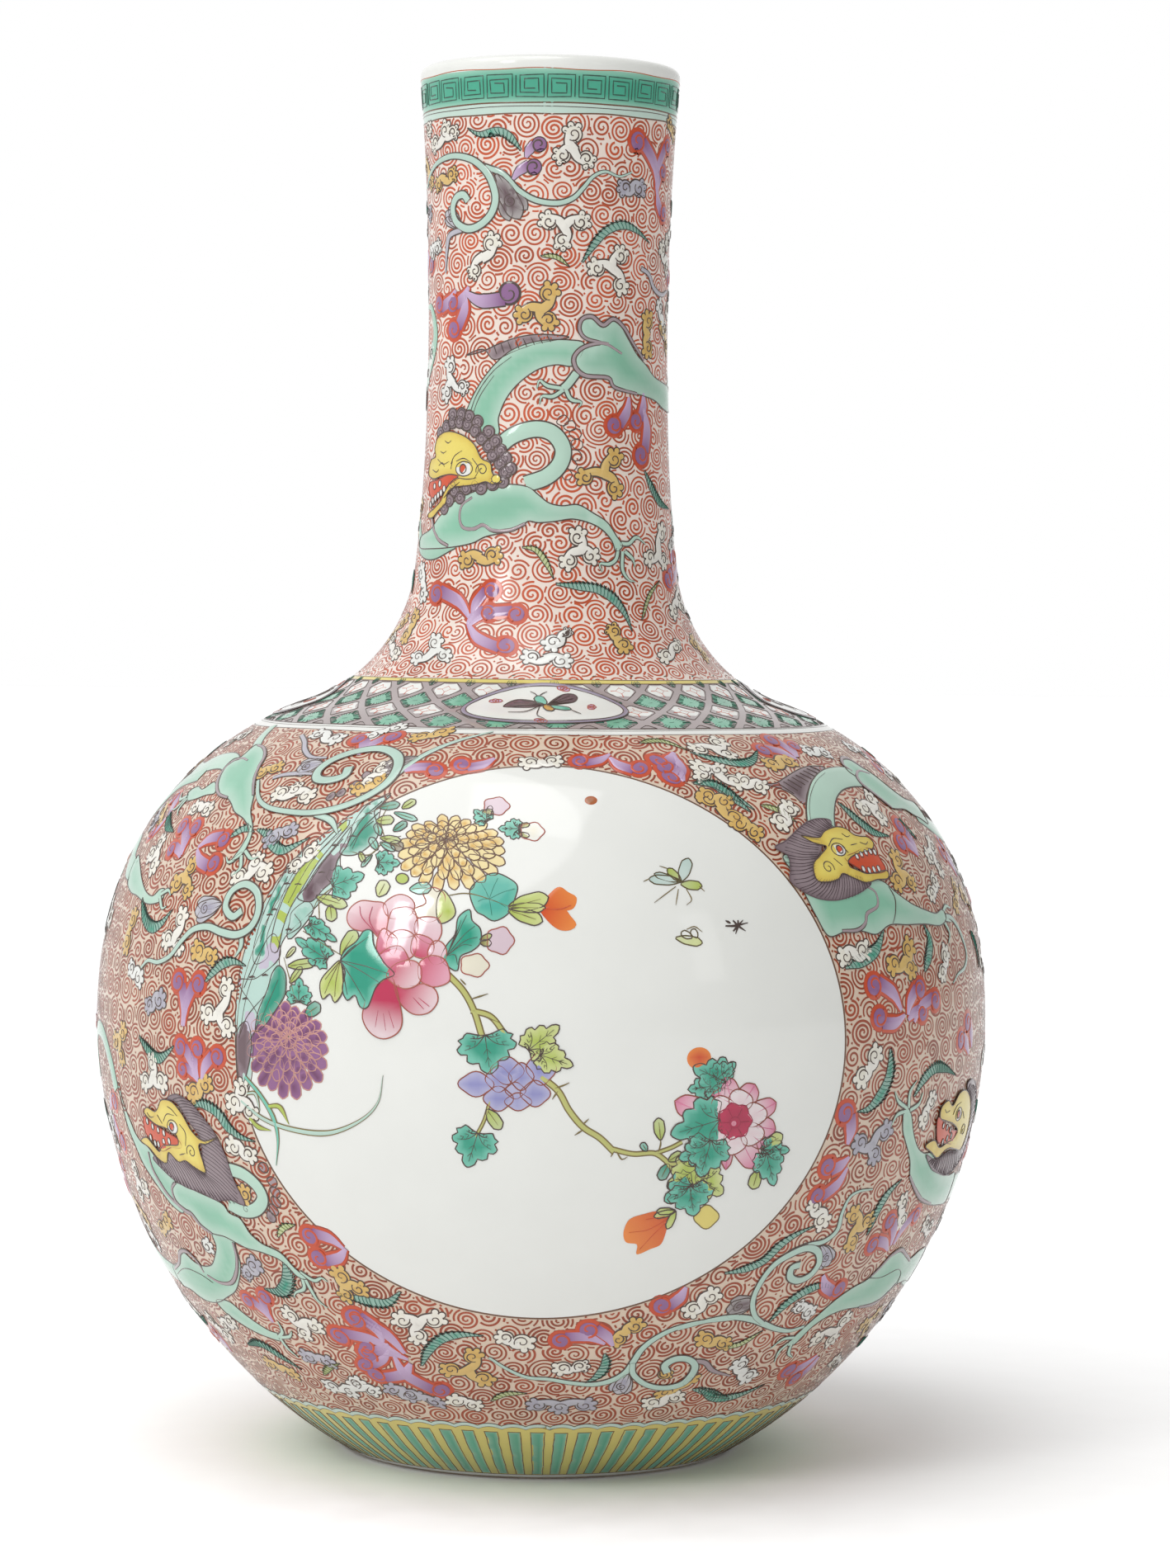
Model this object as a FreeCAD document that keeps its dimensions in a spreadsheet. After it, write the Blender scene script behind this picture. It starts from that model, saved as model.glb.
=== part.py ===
"""A globular porcelain bottle vase: thrown clay sections luted together, under glaze and enamel.

Every outside surface follows one line, made of six arcs that run into each other. It starts at the
foot and ends in a rounded lip. The clay wall lies just inside it, and the glaze fills the thin gap.
The shells are turned from that line and then parted at the heights where the real vase is luted,
or where one enamel ground ends and the next begins.
"""

import FreeCAD, Part
import math
import os

import Sketcher

DRIVING_DIMENSIONS = {
    # the line of the outside, from the foot to the lip: radii in mm, turns in degrees
    "total_height": 537.0,
    "belly_height": 170.3,
    "belly_radius": 173.4,
    "underside_curve": 196.7,
    "haunch_curve": 160.5,
    "haunch_turn": 12.4,
    "shoulder_curve": 117.5,
    "shoulder_turn": 58.5,
    "root_curve": 63.5,
    "root_turn": 64.6,
    "neck_curve": 700.0,
    "neck_turn": 4.3,
    "throat_curve": 1170.0,
    # the clay, and the glaze over it
    "clay_wall": 6.0,
    "glaze_skin": 0.4,
    "floor_height": 12.0,
    "foot_recess": 5.0,
    "foot_inner_radius": 65.0,
    # where the clay sections are luted
    "slip_thickness": 1.0,
    "neck_joint_height": 305.0,
    # where each enamel ground begins, going up
    "foot_line_low": 1.0,
    "stripes_low": 2.4,
    "body_ground_low": 27.0,
    "white_line_low": 281.6,
    "diaper_low": 283.6,
    "yellow_line_low": 299.6,
    "neck_ground_low": 300.9,
    "collar_line_low": 514.7,
    "fret_low": 518.6,
    "lip_low": 531.3,
    # the reserves left white for painting
    "panel_half_width": 110.0,
    "panel_half_height": 99.0,
    "panel_height": 171.8,
    "medallion_half_width": 31.0,
    "medallion_half_depth": 15.0,
    "medallion_distance": 91.0,
}
BULGES = 1
HOLLOWS = -1
ARCS = (
    ("underside", BULGES),
    ("haunch", BULGES),
    ("shoulder", BULGES),
    ("root", HOLLOWS),
    ("neck", HOLLOWS),
    ("throat", HOLLOWS),
)
ARC_START = 1
ARC_END = 2
ARC_CENTRE = 3
LINE_START = 1
LINE_END = 2
SKETCH_ORIGIN = (-1, 1)
SKETCH_UPRIGHT = -2
FOOT_RECESS_LINE = 2
VERTICAL_AXIS = "V_Axis"
FULL_TURN = 360.0
SQUARE_TURN = 90.0
TOOL_MARGIN = "10"
MEDALLION_SIDES = {"right": 0.0, "back": 90.0, "left": 180.0, "front": 270.0}
LIP_CENTRE = "dims.total_height - dims.glaze_skin - dims.clay_wall / 2"
UP = FreeCAD.Vector(0, 0, 1)

doc = FreeCAD.newDocument("bottle_vase")
sheet = doc.addObject("Spreadsheet::Sheet", "dims")
subparts = []


def fill_sheet():
    """Writes each driving dimension into the sheet, under its own alias."""
    for row, (alias, number) in enumerate(DRIVING_DIMENSIONS.items(), start=1):
        sheet.set(f"A{row}", alias)
        sheet.set(f"B{row}", str(number))
        sheet.setAlias(f"B{row}", alias)
    doc.recompute()


def size(alias):
    """The number in the sheet under that alias."""
    return float(sheet.get(alias))


def lip_centre_height():
    """The height of the point that the rounded lip is struck from."""
    return size("total_height") - size("glaze_skin") - size("clay_wall") / 2


class WallLine:
    """Where the arcs of the outside line lie, moved inwards by a gap, for a sketch to start from."""

    def __init__(self, gap, low):
        self.arcs = []
        self.centre_x = size("belly_radius") - size("underside_curve")
        self.centre_z = size("belly_height")
        radius = size("underside_curve")
        foot_slope = -math.asin((self.centre_z - low) / (radius - gap))
        self.add_arc(radius - gap, foot_slope, 0.0, BULGES)
        slope, bulge = 0.0, BULGES
        for name, next_bulge in ARCS[1:]:
            next_radius = size(f"{name}_curve")
            step = bulge * radius - next_bulge * next_radius
            self.centre_x += step * math.cos(slope)
            self.centre_z += step * math.sin(slope)
            next_slope = self.upper_slope(name, next_bulge, slope, next_radius)
            self.add_arc(next_radius - next_bulge * gap, slope, next_slope, next_bulge)
            slope, radius, bulge = next_slope, next_radius, next_bulge
        self.lip_slope = slope
        reach = radius + size("glaze_skin") + size("clay_wall") / 2
        self.lip_centre = FreeCAD.Vector(self.centre_x - reach * math.cos(slope), lip_centre_height(), 0)

    def upper_slope(self, name, bulge, slope, radius):
        """How far the surface looks upwards where an arc ends, in radians."""
        if name != "throat":
            return slope + bulge * math.radians(size(f"{name}_turn"))
        reach = radius + size("glaze_skin") + size("clay_wall") / 2
        return math.asin((self.centre_z - lip_centre_height()) / reach)

    def add_arc(self, radius, low_slope, high_slope, bulge):
        circle = Part.Circle(FreeCAD.Vector(self.centre_x, self.centre_z, 0), UP, radius)
        if bulge == BULGES:
            self.arcs.append(Part.ArcOfCircle(circle, low_slope, high_slope))
        else:
            self.arcs.append(Part.ArcOfCircle(circle, high_slope + math.pi, low_slope + math.pi))


class ShellSketch:
    """A half section of one shell, on its body's XZ plane, with every size tied to the sheet."""

    def __init__(self, body, name):
        self.body = body
        self.sketch = body.newObject("Sketcher::SketchObject", name)
        planes = [o for o in body.Origin.OriginFeatures if o.Role == "XZ_Plane"]
        self.sketch.AttachmentSupport = (planes[0], [""])
        self.sketch.MapMode = "FlatFace"

    def join(self, kind, *where):
        self.sketch.addConstraint(Sketcher.Constraint(kind, *where))

    def tie(self, name, kind, where, start_value, formula):
        """Adds a dimension, named and bound to a formula over the sheet's cells."""
        self.join(kind, *where, start_value)
        self.sketch.renameConstraint(self.sketch.ConstraintCount - 1, name)
        self.sketch.setExpression(f"Constraints.{name}", formula)

    def set_height(self, name, index, vertex, start_value, formula):
        self.tie(name, "DistanceY", (*SKETCH_ORIGIN, index, vertex), start_value, formula)

    def set_distance(self, name, index, vertex, start_value, formula):
        self.tie(name, "DistanceX", (*SKETCH_ORIGIN, index, vertex), start_value, formula)

    def wall_line(self, name, gap, gap_formula, low, low_formula):
        """Draws the outside line moved inwards by a gap. Gives its lower and its upper end."""
        line = WallLine(gap, low)
        indices = [self.sketch.addGeometry(arc, False) for arc in line.arcs]
        for (arc_name, bulge), index, arc in zip(ARCS, indices, line.arcs):
            sign = "-" if bulge == BULGES else "+"
            formula = f"dims.{arc_name}_curve {sign} ({gap_formula})"
            self.tie(f"{name}_{arc_name}_radius", "Radius", (index,), arc.Radius, formula)
            if f"{arc_name}_turn" in DRIVING_DIMENSIONS:
                turn = arc.LastParameter - arc.FirstParameter
                formula = f"dims.{arc_name}_turn * 1 deg"
                self.tie(f"{name}_{arc_name}_turn", "Angle", (index,), turn, formula)
        ends = [self.arc_ends(index, bulge) for index, (_, bulge) in zip(indices, ARCS)]
        for (_, below), (above, _) in zip(ends, ends[1:]):
            self.join("Tangent", *below, *above)
        underside = indices[0]
        across = size("belly_radius") - size("underside_curve")
        formula = "dims.belly_radius - dims.underside_curve"
        self.set_distance(f"{name}_middle", underside, ARC_CENTRE, across, formula)
        self.set_height(f"{name}_belly", underside, ARC_CENTRE, size("belly_height"), "dims.belly_height")
        self.join("Horizontal", underside, ARC_CENTRE, underside, ARC_END)
        self.set_height(f"{name}_low", underside, ARC_START, low, low_formula)
        return ends[0][0], ends[-1][1]

    @staticmethod
    def arc_ends(index, bulge):
        """The lower and the upper end of an arc, which runs anticlockwise in the section."""
        lower, upper = (index, ARC_START), (index, ARC_END)
        return (lower, upper) if bulge == BULGES else (upper, lower)

    def lip(self, name, radius):
        """Draws the half round of the lip about its own centre height. Gives its index."""
        line = WallLine(0.0, 0.0)
        circle = Part.Circle(line.lip_centre, UP, radius)
        slope = line.lip_slope
        index = self.sketch.addGeometry(Part.ArcOfCircle(circle, slope, slope + math.pi), False)
        self.set_height(f"{name}_lip_height", index, ARC_CENTRE, lip_centre_height(), LIP_CENTRE)
        return index

    def point(self, end):
        found = self.sketch.getPoint(*end)
        return found.x, found.y

    def straight_lines(self, points):
        """Draws straight runs from point to point, joined end to end. Gives their indices."""
        corners = [FreeCAD.Vector(x, z, 0) for x, z in points]
        runs = [Part.LineSegment(a, b) for a, b in zip(corners, corners[1:])]
        indices = [self.sketch.addGeometry(run, False) for run in runs]
        for before, after in zip(indices, indices[1:]):
            self.join("Coincident", before, LINE_END, after, LINE_START)
        return indices

    def bridge(self, start, end):
        """Draws one straight edge from the end of one curve to the end of another."""
        index, = self.straight_lines([self.point(start), self.point(end)])
        self.join("Coincident", index, LINE_START, *start)
        self.join("Coincident", index, LINE_END, *end)
        return index

    def floor_lines(self, start, end, levels, foot=()):
        """Closes the section over the axis: level runs, with the axis between them."""
        upper, lower = levels
        points = [self.point(start), (0.0, upper), (0.0, lower), *foot, self.point(end)]
        indices = self.straight_lines(points)
        self.join("Coincident", indices[0], LINE_START, *start)
        self.join("Coincident", indices[-1], LINE_END, *end)
        self.join("PointOnObject", indices[1], LINE_START, SKETCH_UPRIGHT)
        for place, index in enumerate(indices):
            self.join("Vertical" if place % 2 else "Horizontal", index)
        return indices

    def revolve(self):
        doc.recompute()
        turned = self.body.newObject("PartDesign::Revolution", f"{self.body.Name}_turned")
        turned.Profile = self.sketch
        turned.ReferenceAxis = (self.sketch, [VERTICAL_AXIS])
        turned.Angle = FULL_TURN
        doc.recompute()


def clay_body():
    """The clay, before it is parted: foot, recessed base, globe, neck and rounded lip."""
    body = doc.addObject("PartDesign::Body", "clay")
    shell = ShellSketch(body, "clay_section")
    skin, wall = size("glaze_skin"), size("clay_wall")
    floor, recess, foot = size("floor_height"), size("foot_recess"), size("foot_inner_radius")
    outer_low, outer_high = shell.wall_line("outer", skin, "dims.glaze_skin", 0.0, "0")
    gap = "dims.glaze_skin + dims.clay_wall"
    inner_low, inner_high = shell.wall_line("inner", skin + wall, gap, floor, "dims.floor_height")
    lip = shell.lip("clay", wall / 2)
    shell.join("Tangent", *outer_high, lip, ARC_START)
    shell.join("Tangent", *inner_high, lip, ARC_END)
    ring = [(foot, recess), (foot, 0.0)]
    lines = shell.floor_lines(inner_low, outer_low, (floor, recess), ring)
    recess_edge = (lines[FOOT_RECESS_LINE], LINE_END)
    shell.set_height("recess_height", *recess_edge, recess, "dims.foot_recess")
    shell.set_distance("ring_bore", *recess_edge, foot, "dims.foot_inner_radius")
    shell.revolve()
    return body


def outer_glaze_body():
    """The glaze on the outside, from just above the foot up and over the lip."""
    body = doc.addObject("PartDesign::Body", "outer_glaze")
    shell = ShellSketch(body, "outer_glaze_section")
    skin, wall, low = size("glaze_skin"), size("clay_wall"), size("foot_line_low")
    face_low, face_high = shell.wall_line("face", 0.0, "0", low, "dims.foot_line_low")
    back_low, back_high = shell.wall_line("back", skin, "dims.glaze_skin", low, "dims.foot_line_low")
    face_lip = shell.lip("face", wall / 2 + skin)
    radius = "dims.clay_wall / 2 + dims.glaze_skin"
    shell.tie("face_lip_radius", "Radius", (face_lip,), wall / 2 + skin, radius)
    back_lip = shell.lip("back", wall / 2)
    shell.join("Tangent", *face_high, face_lip, ARC_START)
    shell.join("Tangent", *back_high, back_lip, ARC_START)
    shell.join("Vertical", face_lip, ARC_CENTRE, back_lip, ARC_CENTRE)
    inner_edge = shell.bridge((face_lip, ARC_END), (back_lip, ARC_END))
    shell.join("Horizontal", inner_edge)
    shell.set_height("inner_edge_height", inner_edge, LINE_START, lip_centre_height(), LIP_CENTRE)
    shell.bridge(back_low, face_low)
    shell.revolve()
    return body


def interior_glaze_body():
    """The plain glaze inside, from the lip down the wall and across the floor."""
    body = doc.addObject("PartDesign::Body", "interior_glaze")
    shell = ShellSketch(body, "interior_glaze_section")
    skin, wall, floor = size("glaze_skin"), size("clay_wall"), size("floor_height")
    gap = "dims.glaze_skin + dims.clay_wall"
    back_low, back_high = shell.wall_line("back", skin + wall, gap, floor, "dims.floor_height")
    face_floor = "dims.floor_height + dims.glaze_skin"
    face_gap = f"dims.glaze_skin + {gap}"
    face_low, face_high = shell.wall_line("face", 2 * skin + wall, face_gap, floor + skin, face_floor)
    rim_edge = shell.bridge(face_high, back_high)
    shell.join("Horizontal", rim_edge)
    shell.set_height("rim_edge_height", rim_edge, LINE_START, lip_centre_height(), LIP_CENTRE)
    shell.floor_lines(face_low, back_low, (floor + skin, floor))
    shell.revolve()
    return body


def slab(name, low_formula, high_formula):
    """A plain disc, wider than the vase, that holds everything between two heights."""
    disc = doc.addObject("Part::Cylinder", f"{name}_slab")
    disc.setExpression("Radius", f"dims.belly_radius + {TOOL_MARGIN}")
    disc.setExpression("Height", f"({high_formula}) - ({low_formula})")
    disc.setExpression("Placement.Base.z", low_formula)
    return disc


def keep(subpart, name):
    """Names a finished sub-part, and lists it for writing."""
    subpart.Label = name
    subparts.append(subpart)
    return subpart


def common(name, base, tool):
    shared = doc.addObject("Part::Common", name)
    shared.Base = base
    shared.Tool = tool
    return shared


def cut(name, base, tool):
    rest = doc.addObject("Part::Cut", name)
    rest.Base = base
    rest.Tool = tool
    return rest


def ring_of(name, shell, low_formula, high_formula):
    """The part of a turned shell that lies between two heights."""
    return common(name, shell, slab(name, low_formula, high_formula))


def clay_sections(clay):
    """The thrown and turned sections, from the foot up, with the slip that lutes them together."""
    belly_top = "dims.belly_height + dims.slip_thickness"
    joint_top = "dims.neck_joint_height + dims.slip_thickness"
    sections = {
        "foot_ring": ("0", "dims.foot_recess"),
        "lower_globe": ("dims.foot_recess", "dims.belly_height"),
        "belly_slip_seam": ("dims.belly_height", belly_top),
        "upper_globe": (belly_top, "dims.neck_joint_height"),
        "neck_slip_seam": ("dims.neck_joint_height", joint_top),
        "neck_tube": (joint_top, "dims.total_height"),
    }
    for name, (low, high) in sections.items():
        keep(ring_of(name, clay, low, high), name)


def plain_bands(outer_glaze):
    """The enamel grounds that run right round, from the foot up."""
    bands = {
        "foot_line": ("dims.foot_line_low", "dims.stripes_low"),
        "stripe_band": ("dims.stripes_low", "dims.body_ground_low"),
        "shoulder_white_line": ("dims.white_line_low", "dims.diaper_low"),
        "shoulder_yellow_line": ("dims.yellow_line_low", "dims.neck_ground_low"),
        "neck_scroll_ground": ("dims.neck_ground_low", "dims.collar_line_low"),
        "collar_line": ("dims.collar_line_low", "dims.fret_low"),
        "key_fret_band": ("dims.fret_low", "dims.lip_low"),
        "lip_glaze": ("dims.lip_low", "dims.total_height"),
    }
    for name, (low, high) in bands.items():
        keep(ring_of(name, outer_glaze, low, high), name)


def ellipse_prism(name, wide_formula, narrow_formula, placement, direction, length_formula):
    """A prism with an elliptical outline, to cut a painted reserve out of the glaze."""
    outline = doc.addObject("Part::Ellipse", f"{name}_outline")
    outline.setExpression("MajorRadius", wide_formula)
    outline.setExpression("MinorRadius", narrow_formula)
    outline.Placement = placement
    prism = doc.addObject("Part::Extrusion", f"{name}_prism")
    prism.Base = outline
    prism.DirMode = "Custom"
    prism.Dir = direction
    prism.Solid = True
    prism.setExpression("LengthFwd", length_formula)
    return outline, prism


def panel_prism(side, outwards):
    """Runs from the vase's middle plane out through its front or its back."""
    upright = FreeCAD.Placement(FreeCAD.Vector(), FreeCAD.Rotation(FreeCAD.Vector(1, 0, 0), SQUARE_TURN))
    outline, prism = ellipse_prism(
        f"panel_{side}",
        "dims.panel_half_width",
        "dims.panel_half_height",
        upright,
        FreeCAD.Vector(0, outwards, 0),
        f"dims.belly_radius + {TOOL_MARGIN}",
    )
    outline.setExpression("Placement.Base.z", "dims.panel_height")
    return prism


def medallion_prism(side, turn):
    """Stands on end through the shoulder, with its wide side across the vase's radius."""
    across = FreeCAD.Placement(FreeCAD.Vector(), FreeCAD.Rotation(UP, turn + SQUARE_TURN))
    outline, prism = ellipse_prism(
        f"medallion_{side}",
        "dims.medallion_half_width",
        "dims.medallion_half_depth",
        across,
        UP,
        "dims.yellow_line_low - dims.diaper_low",
    )
    outline.setExpression("Placement.Base.x", f"dims.medallion_distance * cos({turn} deg)")
    outline.setExpression("Placement.Base.y", f"dims.medallion_distance * sin({turn} deg)")
    outline.setExpression("Placement.Base.z", "dims.diaper_low")
    return prism


def ground_with_reserves(name, outer_glaze, low_formula, high_formula, prisms):
    """A patterned ground with its painted reserves: each reserve is a piece of the same glaze."""
    for reserve_name, prism in prisms.items():
        keep(common(reserve_name, outer_glaze, prism), reserve_name)
    reserves = doc.addObject("Part::MultiFuse", f"{name}_reserves")
    reserves.Shapes = list(prisms.values())
    whole = ring_of(f"{name}_whole", outer_glaze, low_formula, high_formula)
    keep(cut(name, whole, reserves), name)


def base_glaze():
    """The glaze on the recessed base, inside the foot ring."""
    disc = doc.addObject("Part::Cylinder", "base_glaze")
    disc.setExpression("Radius", "dims.foot_inner_radius")
    disc.setExpression("Height", "dims.glaze_skin")
    disc.setExpression("Placement.Base.z", "dims.foot_recess - dims.glaze_skin")
    keep(disc, "base_glaze")


def write_parts():
    """Checks every object and every sub-part, then writes one file for each sub-part."""
    doc.recompute()
    for item in doc.Objects:
        if "Invalid" in item.State or "Error" in item.State:
            raise RuntimeError(f"{item.Label} did not recompute: {item.State}")
    for subpart in subparts:
        if subpart.Shape.isNull() or not subpart.Shape.isValid() or not subpart.Shape.Solids:
            raise RuntimeError(f"{subpart.Label} has no valid solid")
    os.makedirs("parts", exist_ok=True)
    for subpart in subparts:
        subpart.Shape.exportStep(f"parts/{subpart.Label}.step")
        print(f"{subpart.Label}: {len(subpart.Shape.Solids)} solid, {subpart.Shape.Volume:.0f} mm3")


fill_sheet()
clay_sections(clay_body())
glaze = outer_glaze_body()
plain_bands(glaze)
panel_prisms = {"panel_front": panel_prism("front", -1), "panel_back": panel_prism("back", 1)}
ground_with_reserves(
    "body_scroll_ground", glaze, "dims.body_ground_low", "dims.white_line_low", panel_prisms
)
medallion_prisms = {
    f"medallion_{side}": medallion_prism(side, turn) for side, turn in MEDALLION_SIDES.items()
}
ground_with_reserves(
    "shoulder_diaper_band", glaze, "dims.diaper_low", "dims.yellow_line_low", medallion_prisms
)
keep(interior_glaze_body(), "interior_glaze")
base_glaze()
write_parts()
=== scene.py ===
"""Looks for a globular porcelain bottle vase, painted in raised enamels over a white glaze.

The glaze skins of the frame are replaced by fine turned skins that follow the same line, and every
painted figure is its own thin layer of enamel on that surface. Design values are in millimetres and
degrees. An angle of 0 is the front of the vase, and angles grow to the right as seen from there.
"""
import math

import bpy
import numpy as np
from mathutils import Matrix, Vector
from mathutils.geometry import delaunay_2d_cdt


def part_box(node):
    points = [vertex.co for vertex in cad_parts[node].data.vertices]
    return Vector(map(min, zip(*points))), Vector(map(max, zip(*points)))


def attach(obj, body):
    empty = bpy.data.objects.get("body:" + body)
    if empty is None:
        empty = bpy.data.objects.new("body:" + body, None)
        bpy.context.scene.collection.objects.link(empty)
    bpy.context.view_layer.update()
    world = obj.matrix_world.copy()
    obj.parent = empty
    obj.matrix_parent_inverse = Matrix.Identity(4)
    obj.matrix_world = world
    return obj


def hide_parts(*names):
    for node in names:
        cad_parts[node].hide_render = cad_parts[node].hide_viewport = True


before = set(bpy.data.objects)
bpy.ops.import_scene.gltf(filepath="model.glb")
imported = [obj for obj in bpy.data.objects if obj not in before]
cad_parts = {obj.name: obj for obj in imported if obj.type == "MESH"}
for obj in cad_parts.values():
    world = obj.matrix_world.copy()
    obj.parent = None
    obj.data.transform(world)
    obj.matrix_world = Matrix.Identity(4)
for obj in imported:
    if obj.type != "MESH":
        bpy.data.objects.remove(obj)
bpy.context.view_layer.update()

MM = 0.001
TURN = 2 * math.pi

# The line of the outside, as radii in millimetres and turns in degrees, from the foot to the lip.
BELLY_RADIUS = 173.4
BELLY_HEIGHT = 170.3
UNDERSIDE_CURVE = 196.7
LIP_ROUND = 3.4
LINE_ARCS = (
    # radius, turn of the surface, and 1 for an arc that bulges or -1 for one that hollows
    (160.5, 12.4, 1),
    (117.5, 58.5, 1),
    (63.5, -64.6, -1),
    (700.0, -4.3, -1),
    (1170.0, None, -1),
)
TOTAL_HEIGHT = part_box("lip_glaze")[1].z / MM


def band_edges(node):
    """The lower and upper height of a band of the frame, in millimetres."""
    low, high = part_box(node)
    return low.z / MM, high.z / MM


def trace_line(step=0.5):
    """Points along the outside line: radius, height, and the surface's outward direction."""
    rows = []

    def add(centre_x, centre_z, radius, start, end, bulge):
        count = max(3, int(abs(end - start) * radius / step))
        for slope in np.linspace(start, end, count)[1 if rows else 0:]:
            x = centre_x + bulge * radius * math.cos(slope)
            z = centre_z + bulge * radius * math.sin(slope)
            rows.append((x, z, math.cos(slope), math.sin(slope)))

    centre_x, centre_z = BELLY_RADIUS - UNDERSIDE_CURVE, BELLY_HEIGHT
    add(centre_x, centre_z, UNDERSIDE_CURVE, -math.asin(centre_z / UNDERSIDE_CURVE), 0.0, 1)
    radius, bulge, slope = UNDERSIDE_CURVE, 1, 0.0
    for next_radius, turn, next_bulge in LINE_ARCS:
        reach = bulge * radius - next_bulge * next_radius
        centre_x += reach * math.cos(slope)
        centre_z += reach * math.sin(slope)
        if turn is None:
            lip_height = TOTAL_HEIGHT - LIP_ROUND
            end = math.asin((centre_z - lip_height) / (next_radius + LIP_ROUND))
        else:
            end = slope + math.radians(turn)
        add(centre_x, centre_z, next_radius, slope, end, next_bulge)
        radius, bulge, slope = next_radius, next_bulge, end
    lip_x, lip_z = rows[-1][0] - LIP_ROUND * math.cos(slope), rows[-1][1] - LIP_ROUND * math.sin(slope)
    add(lip_x, lip_z, LIP_ROUND, slope, slope + math.pi, 1)
    return np.array(rows)


LINE = trace_line()
ALONG = np.concatenate([[0.0], np.cumsum(np.hypot(np.diff(LINE[:, 0]), np.diff(LINE[:, 1])))])
LIP_TOP = int(np.argmax(LINE[:, 1]))


def along_at(height):
    """How far up the line from the foot a height lies, measured along the surface."""
    return np.interp(height, LINE[: LIP_TOP + 1, 1], ALONG[: LIP_TOP + 1])


def radius_at(along):
    """The radius of the surface at a place along the line."""
    return np.interp(along, ALONG, LINE[:, 0])


def on_vase(angle, along, lift):
    """Points on the vase in metres: angle in radians, along and lift in millimetres."""
    radius = np.interp(along, ALONG, LINE[:, 0]) + lift * np.interp(along, ALONG, LINE[:, 2])
    height = np.interp(along, ALONG, LINE[:, 1]) + lift * np.interp(along, ALONG, LINE[:, 3])
    return np.stack([radius * np.sin(angle), -radius * np.cos(angle), height], axis=-1) * MM


# ---------------------------------------------------------------- building pieces of enamel

LEVEL = 0.07        # how much higher each painted layer lies than the one that it overlaps
SINK = 0.03         # how far the edge of a painted layer sinks into what lies under it
RIM = 0.45          # how wide the rounded rim of a painted layer is
WIDE_STROKE = 1.3   # a stroke wider than this has a flat top
TOP_STEP = 3.5      # how far apart the points across a flat top lie, at most


class Enamel:
    """Points, faces and colours of one piece, gathered until it is made."""

    def __init__(self):
        self.points = []
        self.faces = []
        self.colours = []
        self.count = 0

    def add(self, points, faces, colours):
        self.points.append(points)
        self.faces.append(np.asarray(faces, int) + self.count)
        self.colours.append(np.broadcast_to(colours, (len(points), 3)))
        self.count += len(points)


def build_piece(name, enamel, material, both_sides=False, replaces=()):
    """Makes one mesh of everything gathered, on both sides of the vase if it is painted twice."""
    points = np.concatenate(enamel.points)
    colours = np.concatenate(enamel.colours)
    groups = list(enamel.faces)
    if both_sides:
        groups += [faces + len(points) for faces in enamel.faces]
        points = np.concatenate([points, points * (-1, -1, 1)])
        colours = np.concatenate([colours, colours])
    mesh = bpy.data.meshes.new(name)
    faces = [face for group in groups for face in group.tolist()]
    mesh.from_pydata(points.tolist(), [], faces)
    mesh.polygons.foreach_set("use_smooth", [True] * len(mesh.polygons))
    tint = mesh.color_attributes.new("tint", "FLOAT_COLOR", "POINT")
    rgba = np.concatenate([colours, np.ones((len(colours), 1))], axis=1).astype(np.float32)
    tint.data.foreach_set("color", rgba.ravel())
    mesh.materials.append(material)
    piece = bpy.data.objects.new(name, mesh)
    bpy.context.scene.collection.objects.link(piece)
    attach(piece, "root")
    if replaces:
        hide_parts(*replaces)
    return piece


class Belt:
    """A drawing sheet right round the vase. Its x is true at one height and shrinks with the radius."""

    def __init__(self, height, angle=0.0):
        self.along = float(along_at(height))
        self.radius = float(radius_at(self.along))
        self.angle = math.radians(angle)
        self.size = 1.0

    def place(self, points, lift):
        return on_vase(self.angle + points[:, 0] / self.radius, self.along + points[:, 1], lift)


class Chart:
    """A flat drawing sheet laid on the vase at an angle and a height, x to the right and y up."""

    def __init__(self, angle, height, size=1.0):
        self.angle = math.radians(angle)
        self.along = float(along_at(height))
        self.size = size

    def place(self, points, lift):
        across = points[:, 0] * self.size
        along = self.along + points[:, 1] * self.size
        return on_vase(self.angle + across / radius_at(along), along, lift)


def smooth_path(points, step, closed=False):
    """A curve through the points, sampled about every step."""
    points = np.asarray(points, float)
    count = len(points)
    if closed:
        padded = np.concatenate([points[-1:], points, points[:2]])
        spans = count
    else:
        first, last = 2 * points[0] - points[1], 2 * points[-1] - points[-2]
        padded = np.concatenate([[first], points, [last]])
        spans = count - 1
    parts = []
    for i in range(spans):
        a, b, c, d = padded[i : i + 4]
        pieces = max(1, int(np.hypot(*(c - b)) / step))
        t = np.arange(pieces)[:, None] / pieces
        parts.append(
            0.5 * (2 * b + (c - a) * t + (2 * a - 5 * b + 4 * c - d) * t**2 + (3 * b - a - 3 * c + d) * t**3)
        )
    if not closed:
        parts.append(points[-1:])
    return np.concatenate(parts)


def distance_to_outline(points, outline):
    """How far each point lies from a closed outline."""
    starts, ends = outline, np.roll(outline, -1, axis=0)
    runs = ends - starts
    lengths = np.maximum((runs**2).sum(1), 1e-9)
    offsets = points[:, None, :] - starts[None]
    share = np.clip((offsets * runs[None]).sum(2) / lengths, 0, 1)
    nearest = offsets - share[..., None] * runs[None]
    return np.sqrt((nearest**2).sum(2)).min(1)


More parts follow.
